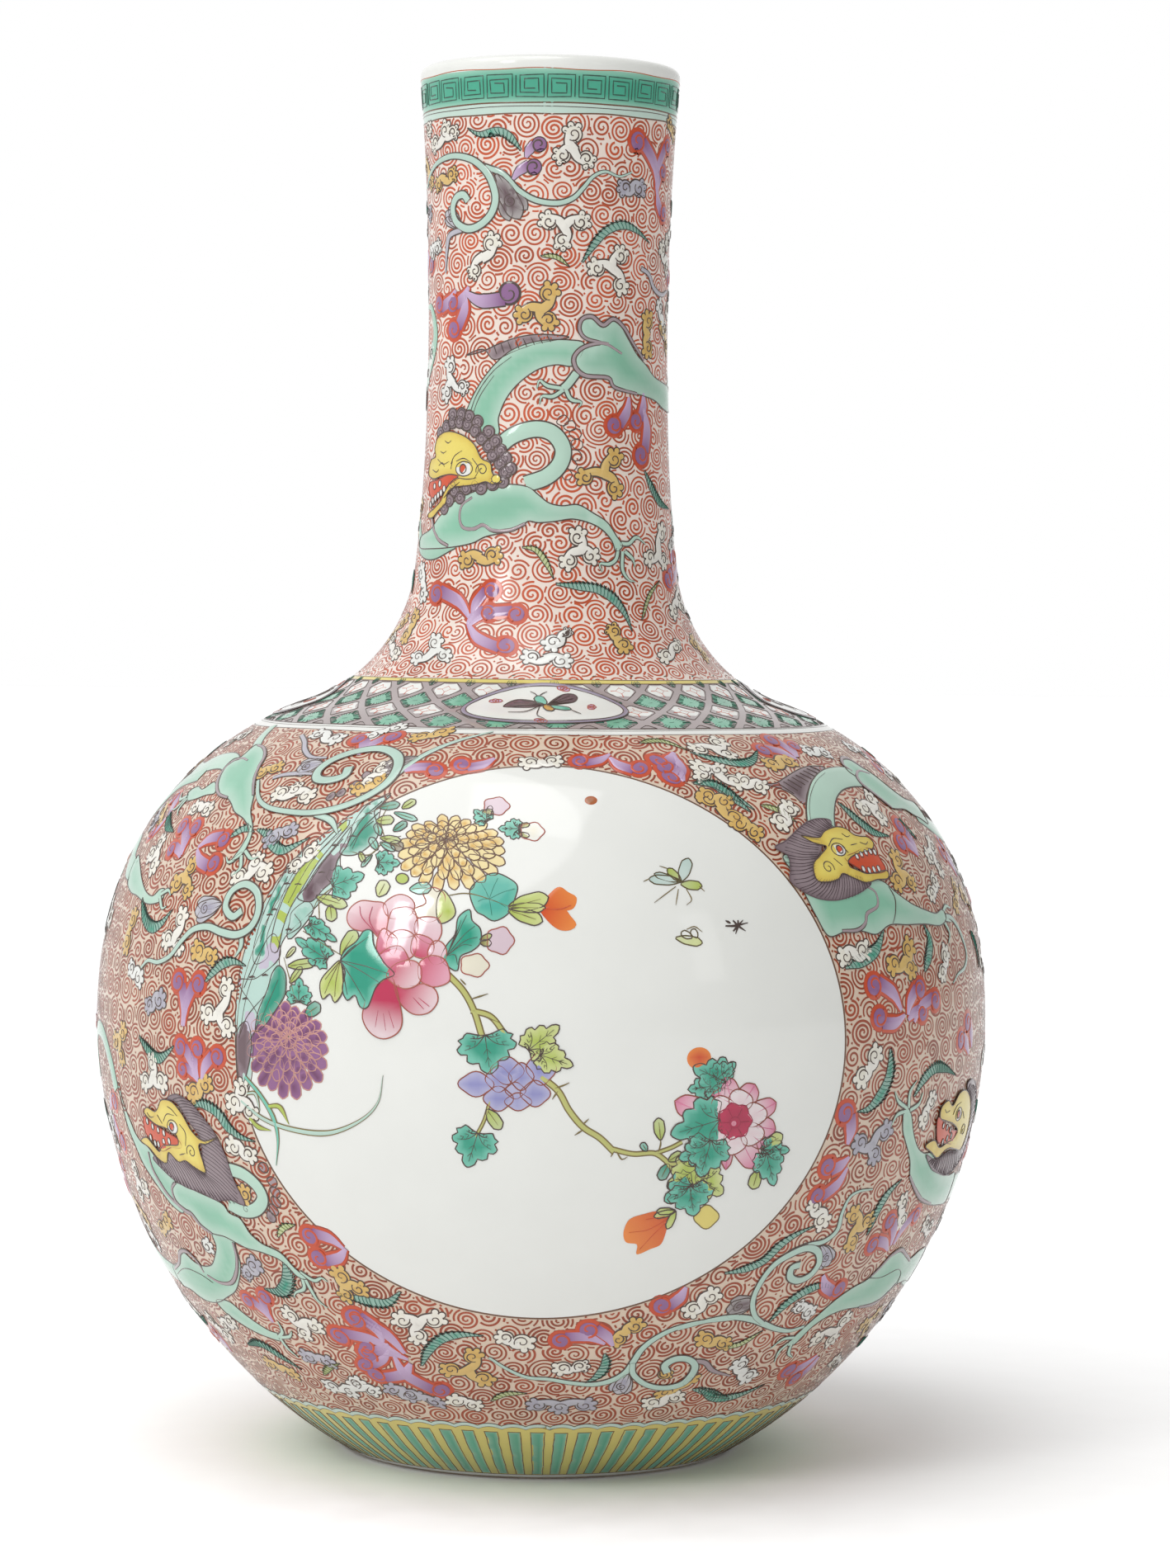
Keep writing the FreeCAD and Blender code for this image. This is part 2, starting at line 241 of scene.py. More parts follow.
def inside_outline(points, outline):
    """Which points lie inside a closed outline."""
    x, y = points[:, 0][:, None], points[:, 1][:, None]
    x0, y0 = outline[:, 0][None], outline[:, 1][None]
    x1, y1 = np.roll(outline[:, 0], -1)[None], np.roll(outline[:, 1], -1)[None]
    crosses = (y0 > y) != (y1 > y)
    with np.errstate(divide="ignore", invalid="ignore"):
        meets = x < (x1 - x0) * (y - y0) / (y1 - y0) + x0
    return (crosses & meets).sum(1) % 2 == 1


def triangulate(outline, step, holes=()):
    """Fills a closed outline with triangles no larger than about step. Gives points and faces."""
    low, high = outline.min(0), outline.max(0)
    xs = np.arange(low[0] + step / 2, high[0], step)
    ys = np.arange(low[1] + step / 2, high[1], step)
    points = [outline]
    if len(xs) and len(ys):
        grid = np.stack(np.meshgrid(xs, ys), -1).reshape(-1, 2)
        keep = inside_outline(grid, outline) & (distance_to_outline(grid, outline) > step * 0.4)
        for hole in holes:
            keep &= ~inside_outline(grid, hole) & (distance_to_outline(grid, hole) > step * 0.4)
        points.append(grid[keep])
    loops = [list(range(len(outline)))]
    start = sum(len(p) for p in points)
    for hole in holes:
        points.append(hole)
        loops.append(list(range(start, start + len(hole)))[::-1])
        start += len(hole)
    flat = [Vector(p) for p in np.concatenate(points)]
    found, _, faces, _, _, _ = delaunay_2d_cdt(flat, [], loops, 1, 1e-5)
    found = np.array([(v.x, v.y) for v in found])
    faces = np.array([f for f in faces if len(f) == 3], int)
    if len(holes):
        middles = found[faces].mean(1)
        outside = np.zeros(len(faces), bool)
        for hole in holes:
            outside |= inside_outline(middles, hole)
        faces = faces[~outside]
    return found, faces


def mix(first, second, share):
    """Colours between two colours, by a share for each point."""
    share = np.clip(np.asarray(share, float), 0, 1)[..., None]
    return np.asarray(first) * (1 - share) + np.asarray(second) * share


def fill(enamel, chart, outline, rim, middle, lift=0.14, step=3.0, bleed=2.5, flow=None, level=0):
    """A raised patch of enamel. Its colour runs from the rim to the middle, or along flow."""
    outline = np.asarray(outline, float)
    flat, faces = triangulate(outline, step / chart.size)
    if not len(faces):
        return
    depth = distance_to_outline(flat, outline) * chart.size
    if flow is None:
        colours = mix(rim, middle, depth / bleed)
    else:
        start, end = np.asarray(flow[0], float), np.asarray(flow[1], float)
        run = end - start
        colours = mix(rim, middle, ((flat - start) @ run) / (run @ run))
    lifts = level * LEVEL - SINK + (lift + SINK) * np.sqrt(np.clip(depth / RIM, 0, 1))
    placed = chart.place(flat, lifts)
    enamel.add(placed, face_outwards(placed, faces), colours)


def face_outwards(points, faces):
    """Turns triangles that look into the vase so that they look out of it."""
    faces = np.array(faces)
    a, b, c = (points[faces[:, i]] for i in range(3))
    normal = np.cross(b - a, c - a)
    away = (a + b + c) / 3
    away = away - (0, 0, BELLY_HEIGHT * MM)
    wrong = (normal * away).sum(1) < 0
    faces[wrong] = faces[wrong][:, ::-1]
    return faces


def stroke(enamel, chart, path, width, colour, lift=0.2, step=0.8, closed=False, taper=(1.0, 1.0),
           tip=None, sharp=False, swell=0.0, level=0):
    """A brush stroke along a path. taper is the share of the width at each end, tip the last colour."""
    points = np.asarray(path, float) if sharp else smooth_path(path, step / chart.size, closed)
    if len(points) < 2:
        return
    if closed:
        ahead, behind = np.roll(points, -1, axis=0), np.roll(points, 1, axis=0)
    else:
        ahead = np.concatenate([points[1:], points[-1:]])
        behind = np.concatenate([points[:1], points[:-1]])
    heading = ahead - behind
    heading /= np.maximum(np.hypot(heading[:, 0], heading[:, 1]), 1e-9)[:, None]
    side = np.stack([-heading[:, 1], heading[:, 0]], 1)
    share = np.linspace(0, 1, len(points))
    ends = np.interp(share, [0, 0.5, 1], [taper[0], 1.0, taper[1]])
    half = width * (ends + swell * np.sin(math.pi * share)) / 2 / chart.size
    across = np.linspace(-1, 1, 3)
    if width > WIDE_STROKE:
        flat = 1 - 2 * RIM / width
        across = np.concatenate([[-1], np.linspace(-flat, flat, 2 + int(width / TOP_STEP)), [1]])
    columns = len(across)
    grid = points[:, None, :] + side[:, None, :] * (half[:, None] * across[None])[..., None]
    dome = np.sqrt(np.clip((1 - np.abs(across)) * width / 2 / min(RIM, width / 2), 0, 1))
    lifts = np.broadcast_to(level * LEVEL - SINK + (lift + SINK) * dome, grid.shape[:2])
    placed = chart.place(grid.reshape(-1, 2), lifts.reshape(-1))
    colours = np.asarray(colour) if tip is None else np.repeat(mix(colour, tip, share**2), columns, axis=0)
    rows = len(points) if closed else len(points) - 1
    corner = (np.arange(rows)[:, None] * columns + np.arange(columns - 1)[None]).reshape(-1)
    total = len(points) * columns
    quads = np.stack([corner, (corner + columns) % total, (corner + columns + 1) % total, corner + 1], 1)
    enamel.add(placed, quads, colours)


# ---------------------------------------------------------------- materials

LIGHT_SHARE = 0.69          # the studio light is bright, so a paint takes this share of its display colour
GLAZE_IOR = 1.52
MOTTLE_SCALE = 45.0         # of the clouding in glaze and enamel, about 20 mm from cloud to cloud
MOTTLE_DETAIL = 8.0
RIPPLE_HEIGHT = 0.0004      # in metres


def paint(red, green, blue):
    """The colour that a fired enamel needs to look like these display values in the studio light."""
    values = np.array([red, green, blue]) / 255
    return np.where(values < 0.04045, values / 12.92, ((values + 0.055) / 1.055) ** 2.4) * LIGHT_SHARE


def add_node(tree, kind, inputs, operation=None):
    """A shader node with its inputs set, each to a plain value or to the output that feeds it."""
    node = tree.nodes.new(f"ShaderNode{kind}")
    if operation:
        node.operation = operation
    for name, value in inputs.items():
        if isinstance(value, bpy.types.NodeSocket):
            tree.links.new(value, node.inputs[name])
        else:
            node.inputs[name].default_value = value
    return node


def map_range(tree, value, before, after):
    """A value moved from one range to another, and held inside it."""
    inputs = {"Value": value, "From Min": before[0], "From Max": before[1], "To Min": after[0],
              "To Max": after[1]}
    return add_node(tree, "MapRange", inputs).outputs["Result"]


def porcelain(name, tint, roughness, mottle, ripple):
    """A fired surface whose tint drifts a little and whose gloss ripples. No tint means painted points."""
    material = bpy.data.materials.new(name)
    material.use_nodes = True
    tree = material.node_tree
    place = add_node(tree, "TexCoord", {})
    clouds = add_node(tree, "TexNoise", {"Scale": MOTTLE_SCALE, "Detail": MOTTLE_DETAIL,
                                         "Vector": place.outputs["Object"]}).outputs["Fac"]
    if tint is None:
        painted = add_node(tree, "Attribute", {})
        painted.attribute_name = "tint"
        tint = painted.outputs["Color"]
    strength = map_range(tree, clouds, (0.3, 0.7), (1.0 - mottle, 1.0 + mottle))
    colour = add_node(tree, "VectorMath", {0: tint, "Scale": strength}, "SCALE")
    gloss = map_range(tree, clouds, (0.0, 1.0), (roughness * 0.6, roughness * 1.4))
    waves = add_node(tree, "Bump", {"Strength": ripple, "Distance": RIPPLE_HEIGHT, "Height": clouds})
    shader = tree.nodes["Principled BSDF"]
    shader.inputs["IOR"].default_value = GLAZE_IOR
    tree.links.new(colour.outputs["Vector"], shader.inputs["Base Color"])
    tree.links.new(gloss, shader.inputs["Roughness"])
    tree.links.new(waves.outputs["Normal"], shader.inputs["Normal"])
    return material


WHITE = paint(243, 244, 239)
PINK_WHITE = paint(248, 232, 220)
BODY_WHITE = paint(228, 206, 184)
glaze_white = porcelain("white_glaze", WHITE, 0.08, 0.012, 0.05)
ground_glaze = porcelain("ground_glaze", None, 0.14, 0.03, 0.10)
red_enamel = porcelain("iron_red", None, 0.25, 0.10, 0.10)
raised_enamel = porcelain("raised_enamel", None, 0.09, 0.05, 0.15)
line_enamel = porcelain("outline_enamel", None, 0.25, 0.15, 0.10)
bare_clay = porcelain("bare_clay", paint(196, 180, 158), 0.8, 0.12, 0.8)

# ---------------------------------------------------------------- the skins of glaze

SKIN_STEP = 3.5
PANEL_HALF_WIDTH = 110.0
PANEL_HALF_HEIGHT = 99.0
PANEL_HEIGHT = 171.8
MEDALLION_OUT = 91.0
MEDALLION_HALF_WIDTH = 31.0
MEDALLION_HALF_DEPTH = 15.0
SHOULDER_LOW = 270.0        # the medallions lie well between these two heights
SHOULDER_HIGH = 320.0


def turned(enamel, start, end, tints, sides=360, step=1.2):
    """A whole turned band between two places along the line. The tints run from its low edge up."""
    rows = max(2, int((end - start) / step) + 1)
    angles = np.arange(sides) * TURN / sides
    alongs = np.linspace(start, end, rows)
    grid = np.stack(np.meshgrid(angles, alongs), -1).reshape(-1, 2)
    placed = on_vase(grid[:, 0], grid[:, 1], 0.0)
    corner = np.arange(rows - 1)[:, None] * sides + np.arange(sides)[None]
    beside = np.arange(rows - 1)[:, None] * sides + (np.arange(sides)[None] + 1) % sides
    quads = np.stack([corner, beside, beside + sides, corner + sides], -1).reshape(-1, 4)
    tints = np.atleast_2d(tints)
    share = np.linspace(0, len(tints) - 1, rows)
    colours = np.stack([np.interp(share, np.arange(len(tints)), tints[:, i]) for i in range(3)], 1)
    enamel.add(placed, quads, np.repeat(colours, sides, axis=0))


def ring(enamel, height, width, colour, wander=0.12, lift=0.12, steps=220):
    """A line brushed right round the vase, at a slightly uneven height."""
    draw = np.random.default_rng(int(height * 10))
    belt = Belt(height)
    x = np.arange(steps) * TURN * belt.radius / steps
    drift = sum(draw.normal(0, wander) * np.sin(n * x / belt.radius + draw.uniform(0, TURN)) for n in (2, 5,
                                                                                                       9))
    stroke(enamel, belt, np.stack([x, drift], 1), width, colour, lift, closed=True, sharp=True)


def skin(enamel, low, high, tint, holes):
    """Half of the body's glaze, from side to side over the front, with holes for what it leaves out."""
    start, end = along_at(low), along_at(high)
    half = TURN / 4 * BELLY_RADIUS
    across = np.linspace(-half, half, int(2 * half / SKIN_STEP))[:-1]
    up = np.linspace(start, end, int((end - start) / SKIN_STEP) + 1)[:-1]
    outline = np.concatenate([
        np.stack([across, np.full(len(across), start)], 1),
        np.stack([np.full(len(up), half), up], 1),
        np.stack([-across, np.full(len(across), end)], 1),
        np.stack([np.full(len(up), -half), start + end - up], 1),
    ])
    flat, faces = triangulate(outline, SKIN_STEP, holes)
    enamel.add(on_vase(flat[:, 0] / BELLY_RADIUS, flat[:, 1], 0.0), faces, tint)


def panel_edge(count=240):
    """The round panel's edge, as angle times belly radius against along."""
    t = np.arange(count) * TURN / count
    along = along_at(PANEL_HEIGHT + PANEL_HALF_HEIGHT * np.sin(t))
    angle = np.arcsin(PANEL_HALF_WIDTH * np.cos(t) / radius_at(along))
    return np.stack([angle * BELLY_RADIUS, along], 1)


def medallion_edge(belt, shrink=0.0, count=90):
    """The small shoulder reserve, an ellipse as seen from straight above, on a belt's own sheet."""
    t = np.arange(count) * TURN / count
    x = (MEDALLION_HALF_WIDTH - shrink) * np.cos(t)
    out = MEDALLION_OUT - (MEDALLION_HALF_DEPTH - shrink) * np.sin(t)
    shoulder = slice(*np.searchsorted(LINE[:LIP_TOP, 1], (SHOULDER_LOW, SHOULDER_HIGH)))
    along = np.interp(-np.hypot(x, out), -LINE[shoulder, 0], ALONG[shoulder])
    return np.stack([np.arctan2(x, out) * belt.radius, along - belt.along], 1)


def band_piece(name, node, tints, material):
    """One turned band that stands for a glaze node of the frame."""
    low, high = band_edges(node)
    band = Enamel()
    turned(band, along_at(low), along_at(high), tints)
    return build_piece(name, band, material, replaces=[node])


FRET_GREEN = paint(72, 176, 146)
FRET_PALE = paint(160, 212, 190)
FRET_LINE = paint(42, 82, 66)
PALE_TURQUOISE = paint(205, 228, 216)
YELLOW = paint(232, 214, 120)
MAUVE = paint(176, 163, 162)
STRIPE_YELLOW = paint(222, 208, 112)
STRIPE_TEAL = paint(88, 176, 146)
STRIPE_PALE = paint(150, 198, 172)
BROWN = paint(112, 78, 58)
DARK = paint(84, 66, 58)
RUST = paint(186, 98, 50)
LILAC_GREY = paint(158, 148, 168)
DIAPER_TEAL = paint(128, 196, 166)
DIAPER_DARK = paint(50, 96, 78)
DIAPER_RED = paint(208, 92, 62)


def plain_bands():
    """Every band that goes right round, each in place of its node of the frame."""
    band_piece("neck_ground_glaze", "neck_scroll_ground", PINK_WHITE, ground_glaze)
    band_piece("fret_ground", "key_fret_band", [FRET_PALE, FRET_GREEN, FRET_GREEN, FRET_GREEN, FRET_PALE],
               raised_enamel)
    band_piece("collar_ground", "collar_line", PALE_TURQUOISE, raised_enamel)
    band_piece("yellow_line", "shoulder_yellow_line", YELLOW, raised_enamel)
    band_piece("white_line", "shoulder_white_line", WHITE, ground_glaze)
    band_piece("stripe_ground", "stripe_band", [STRIPE_YELLOW * 0.92, STRIPE_YELLOW, YELLOW],
               raised_enamel)
    band_piece("foot_glaze_line", "foot_line", WHITE, ground_glaze)
    lip = Enamel()
    turned(lip, along_at(band_edges("lip_glaze")[0]), ALONG[-1], WHITE, step=0.6)
    build_piece("white_lip", lip, ground_glaze, replaces=["lip_glaze"])


def body_skins():
    """The body's pink ground, with the two round panels set into it."""
    edge = panel_edge()
    low, high = band_edges("body_scroll_ground")
    ground = Enamel()
    skin(ground, low, high, BODY_WHITE, [edge])
    build_piece("body_ground_glaze", ground, ground_glaze,
                both_sides=True, replaces=["body_scroll_ground"])
    flat, faces = triangulate(edge, SKIN_STEP)
    for side, turn in (("front", 0.0), ("back", math.pi)):
        panel = Enamel()
        panel.add(on_vase(flat[:, 0] / BELLY_RADIUS + turn, flat[:, 1], 0.0), faces, WHITE)
        build_piece(f"{side}_panel_glaze", panel, glaze_white,
                    replaces=[f"panel_{side}"])


def ring_lines():
    """The thin dark and rust lines that part the bands, and the panels' outlines."""
    lines = Enamel()
    fret_low, fret_high = band_edges("key_fret_band")
    collar_low, collar_high = band_edges("collar_line")
    yellow_low, yellow_high = band_edges("shoulder_yellow_line")
    white_low, white_high = band_edges("shoulder_white_line")
    foot_high = band_edges("foot_line")[1]
    for height, width, colour in (
        (fret_high + 0.1, 0.45, RUST),
        (fret_low, 0.75, BROWN),
        (collar_high - 1.4, 0.4, DARK),
        (collar_low, 0.75, BROWN),
        (yellow_high, 0.55, BROWN),
        (yellow_low, 0.7, BROWN),
        (white_high, 0.7, DARK),
        (white_high - 0.55, 0.35, DARK),
        (white_low, 0.6, DARK),
        (foot_high, 0.45, BROWN),
    ):
        ring(lines, height, width, colour)
    belt = Belt(PANEL_HEIGHT)
    edge = panel_edge()
    for turn in (0.0, math.pi):
        path = np.stack([(edge[:, 0] / BELLY_RADIUS + turn) * belt.radius, edge[:, 1] - belt.along], 1)
        stroke(lines, belt, path, 0.9, BROWN, closed=True, sharp=True)
    return build_piece("ring_lines", lines, line_enamel)


def fret_unit(pitch=1.62, turns=3):
    """A square spiral of line, from its open corner inwards."""
    width, height = 10.6, 8.4
    left, right, low, high = -width / 2, width / 2, -height / 2, height / 2
    path = [(right, low + 0.3)]
    for _ in range(turns):
        path += [(right, high), (left, high), (left, low)]
        right -= pitch
        path.append((right, low))
        high -= pitch
        left += pitch
        low += pitch
    return np.array(path[:-2])


def key_fret(units=26):
    """The fret under the lip: square spirals, every other one turned half round."""
    low, high = band_edges("key_fret_band")
    draw = np.random.default_rng(5)
    fret = Enamel()
    for i in range(units):
        belt = Belt((low + high) / 2, angle=360 / units * (i + 0.35))
        path = fret_unit() * (1 - 2 * (i % 2)) + draw.normal(0, 0.12, (len(fret_unit()), 2))
        dense = np.concatenate([np.linspace(a, b, 4)[:-1] for a,
                                b in zip(path[:-1], path[1:])] + [path[-1:]])
        stroke(fret, belt, dense, 0.58, FRET_LINE, sharp=True)
    return build_piece("key_fret_lines", fret, line_enamel)


def stripes(count=78):
    """Teal stripes on the yellow foot band, under a scalloped pale line."""
    low, high = band_edges("stripe_band")
    draw = np.random.default_rng(9)
    blocks, lines = Enamel(), Enamel()
    belt = Belt(high)
    pitch = TURN * belt.radius / count
    bottom = float(along_at(low)) - belt.along + 0.4
    top = -4.6
    for i in range(count):
        x = pitch * i
        half = pitch * draw.uniform(0.25, 0.29)
        rise = np.linspace(bottom, top + draw.normal(0, 0.25), 9)
        left = np.stack([x - half + draw.normal(0, 0.12, 9), rise], 1)
        right = np.stack([x + half + draw.normal(0, 0.12, 9), rise], 1)
        outline = np.concatenate([left, right[::-1]])
        deep = STRIPE_TEAL * draw.uniform(0.88, 1.1)
        fill(blocks, belt, outline, STRIPE_PALE, deep, lift=0.14, step=2.2, bleed=1.6)
        stroke(lines, belt, outline, 0.5, BROWN, sharp=True)
    cusps = np.arange(count * 8) / 8
    x = (cusps + 0.5) * pitch
    arch = np.abs(np.sin(math.pi * cusps)) ** 0.8 * 1.7
    for drop, width, colour, enamel in ((-1.2, 2.2, PALE_TURQUOISE, blocks), (-2.2, 0.45, BROWN, lines),
                                        (0.0, 0.5, DARK, lines)):
        path = np.stack([x, arch + drop - 0.5], 1)
        stroke(enamel, belt, path, width, colour, closed=True, sharp=True)
    build_piece("foot_stripes", blocks, raised_enamel)
    build_piece("foot_stripe_lines", lines, line_enamel)


CELL_SHARE = 0.79       # how much of its place in the lattice a cell takes up


def diaper(cells=30, rise=9.1):
    """The shoulder lattice: rows of teal and white cells between mauve bars, with four reserves."""
    low, high = band_edges("shoulder_diaper_band")
    belt = Belt((low + high) / 2)
    bottom, top = float(along_at(low)) - belt.along, float(along_at(high)) - belt.along
    draw = np.random.default_rng(3)
    ground, figures, lines = Enamel(), Enamel(), Enamel()
    turned(ground, along_at(low), along_at(high), MAUVE)
    across = TURN * belt.radius / cells
    first_row = int(bottom // rise) - 1
    for row in range(first_row, int(top // rise) + 2):
        for i in range(cells):
            centre = np.array([(i + 0.5 * (row % 2) + 0.22) * across, (row + 0.3) * rise])
            corners = centre + CELL_SHARE * np.array([(-across / 2, 0), (0, -rise), (across / 2, 0),
                                                      (0, rise)])
            edge = clip_rows(round_corners(corners), bottom + 0.5, top - 0.5)
            if len(edge) < 4:
                continue
            teal = row % 2 == 0
            fill(figures, belt, edge, DIAPER_TEAL if teal else WHITE,
                 DIAPER_TEAL * draw.uniform(0.75, 1.0) if teal else WHITE, lift=0.12, step=4.0)
            stroke(lines, belt, edge, 0.45, DARK, closed=True, sharp=True)
            if teal:
                petal_marks(lines, belt, centre, edge)
            else:
                fret_marks(lines, belt, centre, across, rise, bottom, top)
    build_piece("diaper_ground", ground, raised_enamel, replaces=["shoulder_diaper_band"])
    build_piece("diaper_cells", figures, raised_enamel)
    build_piece("diaper_lines", lines, line_enamel)


def round_corners(corners, share=0.07):
    """Replaces each corner of a closed outline by a short bend, and adds points on its sides."""
    points = []
    for i, corner in enumerate(corners):
        before, after = corners[i - 1], corners[(i + 1) % len(corners)]
        points += [corner + (before - corner) * share, corner + (after - corner) * share]
        points += [corner + (after - corner) * s for s in (0.4, 0.6)]
    return np.array(points)


def clip_rows(outline, low, high):
    """The part of a closed outline between two heights, found one edge at a time."""
    for limit, keep in ((low, 1), (high, -1)):
        kept = []
        for a, b in zip(outline, np.roll(outline, -1, axis=0)):
            a_in, b_in = keep * (a[1] - limit) >= 0, keep * (b[1] - limit) >= 0
            if a_in:
                kept.append(a)
            if a_in != b_in:
                kept.append(a + (b - a) * (limit - a[1]) / (b[1] - a[1]))
        outline = np.array(kept).reshape(-1, 2)
        if not len(outline):
            return outline
    return outline


def petal_marks(enamel, belt, centre, edge):
    """Short dark strokes that run in from the edge of a teal cell, and a spot in its middle."""
    for point in np.concatenate([edge, (edge + np.roll(edge, -1, axis=0)) / 2]):
        inner = point + (centre - point) * 0.42
        stroke(enamel, belt, np.array([point, (point + inner) / 2, inner]), 0.32, DIAPER_DARK, sharp=True,
               taper=(1.2, 0.3))
    stroke(enamel, belt, np.array([centre - (1.0, 0.3), centre, centre + (1.0, 0.3)]), 0.8, DIAPER_DARK,
           sharp=True, taper=(0.3, 0.3))


def fret_marks(enamel, belt, centre, across, rise, bottom, top):
    """A small plain lozenge with a short tick towards each corner of a white cell."""
    x, y = across * 0.11, rise * 0.22
    corners = np.array([(-x, 0), (0, -y), (x, 0), (0, y)]) + centre
    if corners[:, 1].min() > bottom + 0.8 and corners[:, 1].max() < top - 0.8:
        stroke(enamel, belt, corners, 0.5, DIAPER_RED, closed=True, sharp=True)
    for corner in corners:
        tip = centre + (corner - centre) * 2.1
        if bottom + 0.8 < tip[1] < top - 0.8:
            stroke(enamel, belt, np.array([corner, (corner + tip) / 2, tip]), 0.5, DIAPER_RED, sharp=True)


def medallions():
    """Four small white reserves on the shoulder, with their lilac rims."""
    low, high = band_edges("shoulder_diaper_band")
    rims, lines = Enamel(), Enamel()
    for quarter, side in enumerate(("front", "right", "back", "left")):
        belt = Belt((low + high) / 2, angle=90 * quarter)
        bottom, top = float(along_at(low)) - belt.along + 0.3, float(along_at(high)) - belt.along - 0.3
        reserve = Enamel()
        edge = clip_rows(medallion_edge(belt), bottom, top)
        fill(reserve, belt, edge, WHITE, WHITE, step=SKIN_STEP, level=3)
        build_piece(f"{side}_medallion_glaze", reserve, ground_glaze,
                    replaces=[f"medallion_{side}"])
        for shrink, width, colour, enamel in ((0.8, 1.8, LILAC_GREY, rims), (0.0, 0.5, DARK, lines),
                                              (1.8, 0.5, DARK, lines)):
            for run in inside_runs(medallion_edge(belt, shrink), bottom, top):
                stroke(enamel, belt, run, width, colour, sharp=True, level=4 if enamel is rims else 5)
    build_piece("medallion_rims", rims, raised_enamel)
    build_piece("medallion_rim_lines", lines, line_enamel)


def inside_runs(outline, low, high):
    """The stretches of a closed outline that lie between two heights."""
    held = (outline[:, 1] > low) & (outline[:, 1] < high)
    if held.all():
        return [np.concatenate([outline, outline[:1]])]
    first = int(np.argmin(held))
    held, outline = np.roll(held, -first), np.roll(outline, -first, axis=0)
    breaks = np.nonzero(np.diff(held.astype(int)))[0] + 1
    return [run for run, seen in zip(np.split(outline, breaks),
                                     np.split(held, breaks)) if seen[0] and len(run) > 2]


def frame_materials():
    """Clay and glaze for the nodes of the frame that stay as they are."""
    for node, material in (
        ("foot_ring", bare_clay), ("lower_globe", bare_clay), ("upper_globe", bare_clay),
        ("neck_tube", bare_clay), ("belly_slip_seam", bare_clay), ("neck_slip_seam", bare_clay),
        ("interior_glaze", glaze_white), ("base_glaze", glaze_white),
    ):
        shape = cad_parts[node]
        shape.data.materials.clear()
        shape.data.materials.append(material)


plain_bands()
body_skins()
ring_lines()
key_fret()
stripes()
diaper()
medallions()
frame_materials()

# ---------------------------------------------------------------- the iron-red scroll ground

RED_NECK = paint(196, 84, 44)
RED_BODY = paint(160, 68, 36)
SCROLL_LIFT = 0.04
SCROLL_MARGIN = 0.2     # how far the scrolls keep from the edges of their ground
PANEL_MARGIN = 0.4      # and from the panels


def scroll_centres(low, high, spacing, draw):
    """Places for scrolls in loose rows, as angle and along."""
    places = []
    along = along_at(low) - spacing * 0.2
    row = 0
    while along < along_at(high) + spacing * 0.5:
        count = max(6, int(round(TURN * radius_at(along) / spacing)))
        angles = (np.arange(count) + 0.5 * (row % 2) + draw.normal(0, 0.12, count)) * TURN / count
        alongs = along + draw.normal(0, 0.12, count) * spacing
        places.append(np.stack([angles, alongs], 1))
        along += spacing * 0.86
        row += 1
    return np.concatenate(places)


def scroll_path(reach, pitch, first, hand):
    """One spiral, from its middle outwards, in even steps."""
    length = math.pi * reach**2 / pitch
    travelled = np.linspace(0.35, length, int(length / 0.85) + 3)
    radius = np.sqrt(pitch * travelled / math.pi)
    turn = first + hand * TURN * radius / pitch
    return np.stack([radius * np.cos(turn), radius * np.sin(turn)], 1)


def outside_panels(angle, along):
    """Which places lie outside both round panels."""
    height = np.interp(along, ALONG, LINE[:, 1])
    x = np.interp(along, ALONG, LINE[:, 0]) * np.sin(angle)
    across = x / (PANEL_HALF_WIDTH + PANEL_MARGIN)
    up = (height - PANEL_HEIGHT) / (PANEL_HALF_HEIGHT + PANEL_MARGIN)
    return across**2 + up**2 > 1


def nearest_stretch(path, i, places, weights, spacing, margin):
    """Which points of a scroll lie nearer to its own centre than to any neighbour's, by a margin."""
    angle, along = places[i]
    radius = radius_at(along)
    apart = (places[:, 0] - angle + math.pi) % TURN - math.pi
    near = (np.abs(apart) * radius < 2 * spacing) & (np.abs(places[:, 1] - along) < 2 * spacing)
    near[i] = False
    offsets = np.stack([apart[near] * radius, places[near, 1] - along], 1)
    own = np.hypot(path[:, 0], path[:, 1]) - weights[i]
    others = np.sqrt(((path[:, None] - offsets[None]) ** 2).sum(2)) - weights[near][None]
    return own + margin < others.min(1)


def ribbon(path, seen, breadth, angle, along):
    """A flat brush line along the seen stretches of a scroll, fullest near its middle: points and faces."""
    heading = np.gradient(path, axis=0)
    heading /= np.hypot(heading[:, 0], heading[:, 1])[:, None]
    swell = np.interp(np.arange(len(path)), [0, 3, len(path)], [0.9, 1.25, 0.85])
    shift = np.stack([heading[:, 1], -heading[:, 0]], 1) * (breadth / 2 * swell)[:, None]
    edges = np.stack([path + shift, path - shift], 1)
    placed = on_vase(angle + edges[..., 0] / radius_at(along), along + edges[..., 1], SCROLL_LIFT)
    runs = np.nonzero(seen[:-1] & seen[1:])[0]
    used = np.unique(np.concatenate([runs, runs + 1]))
    renumber = np.zeros(len(path), int)
    renumber[used] = np.arange(len(used))
    a, b = renumber[runs] * 2, renumber[runs + 1] * 2
    return placed[used].reshape(-1, 3), np.stack([a, b, b + 1, a + 1], 1)


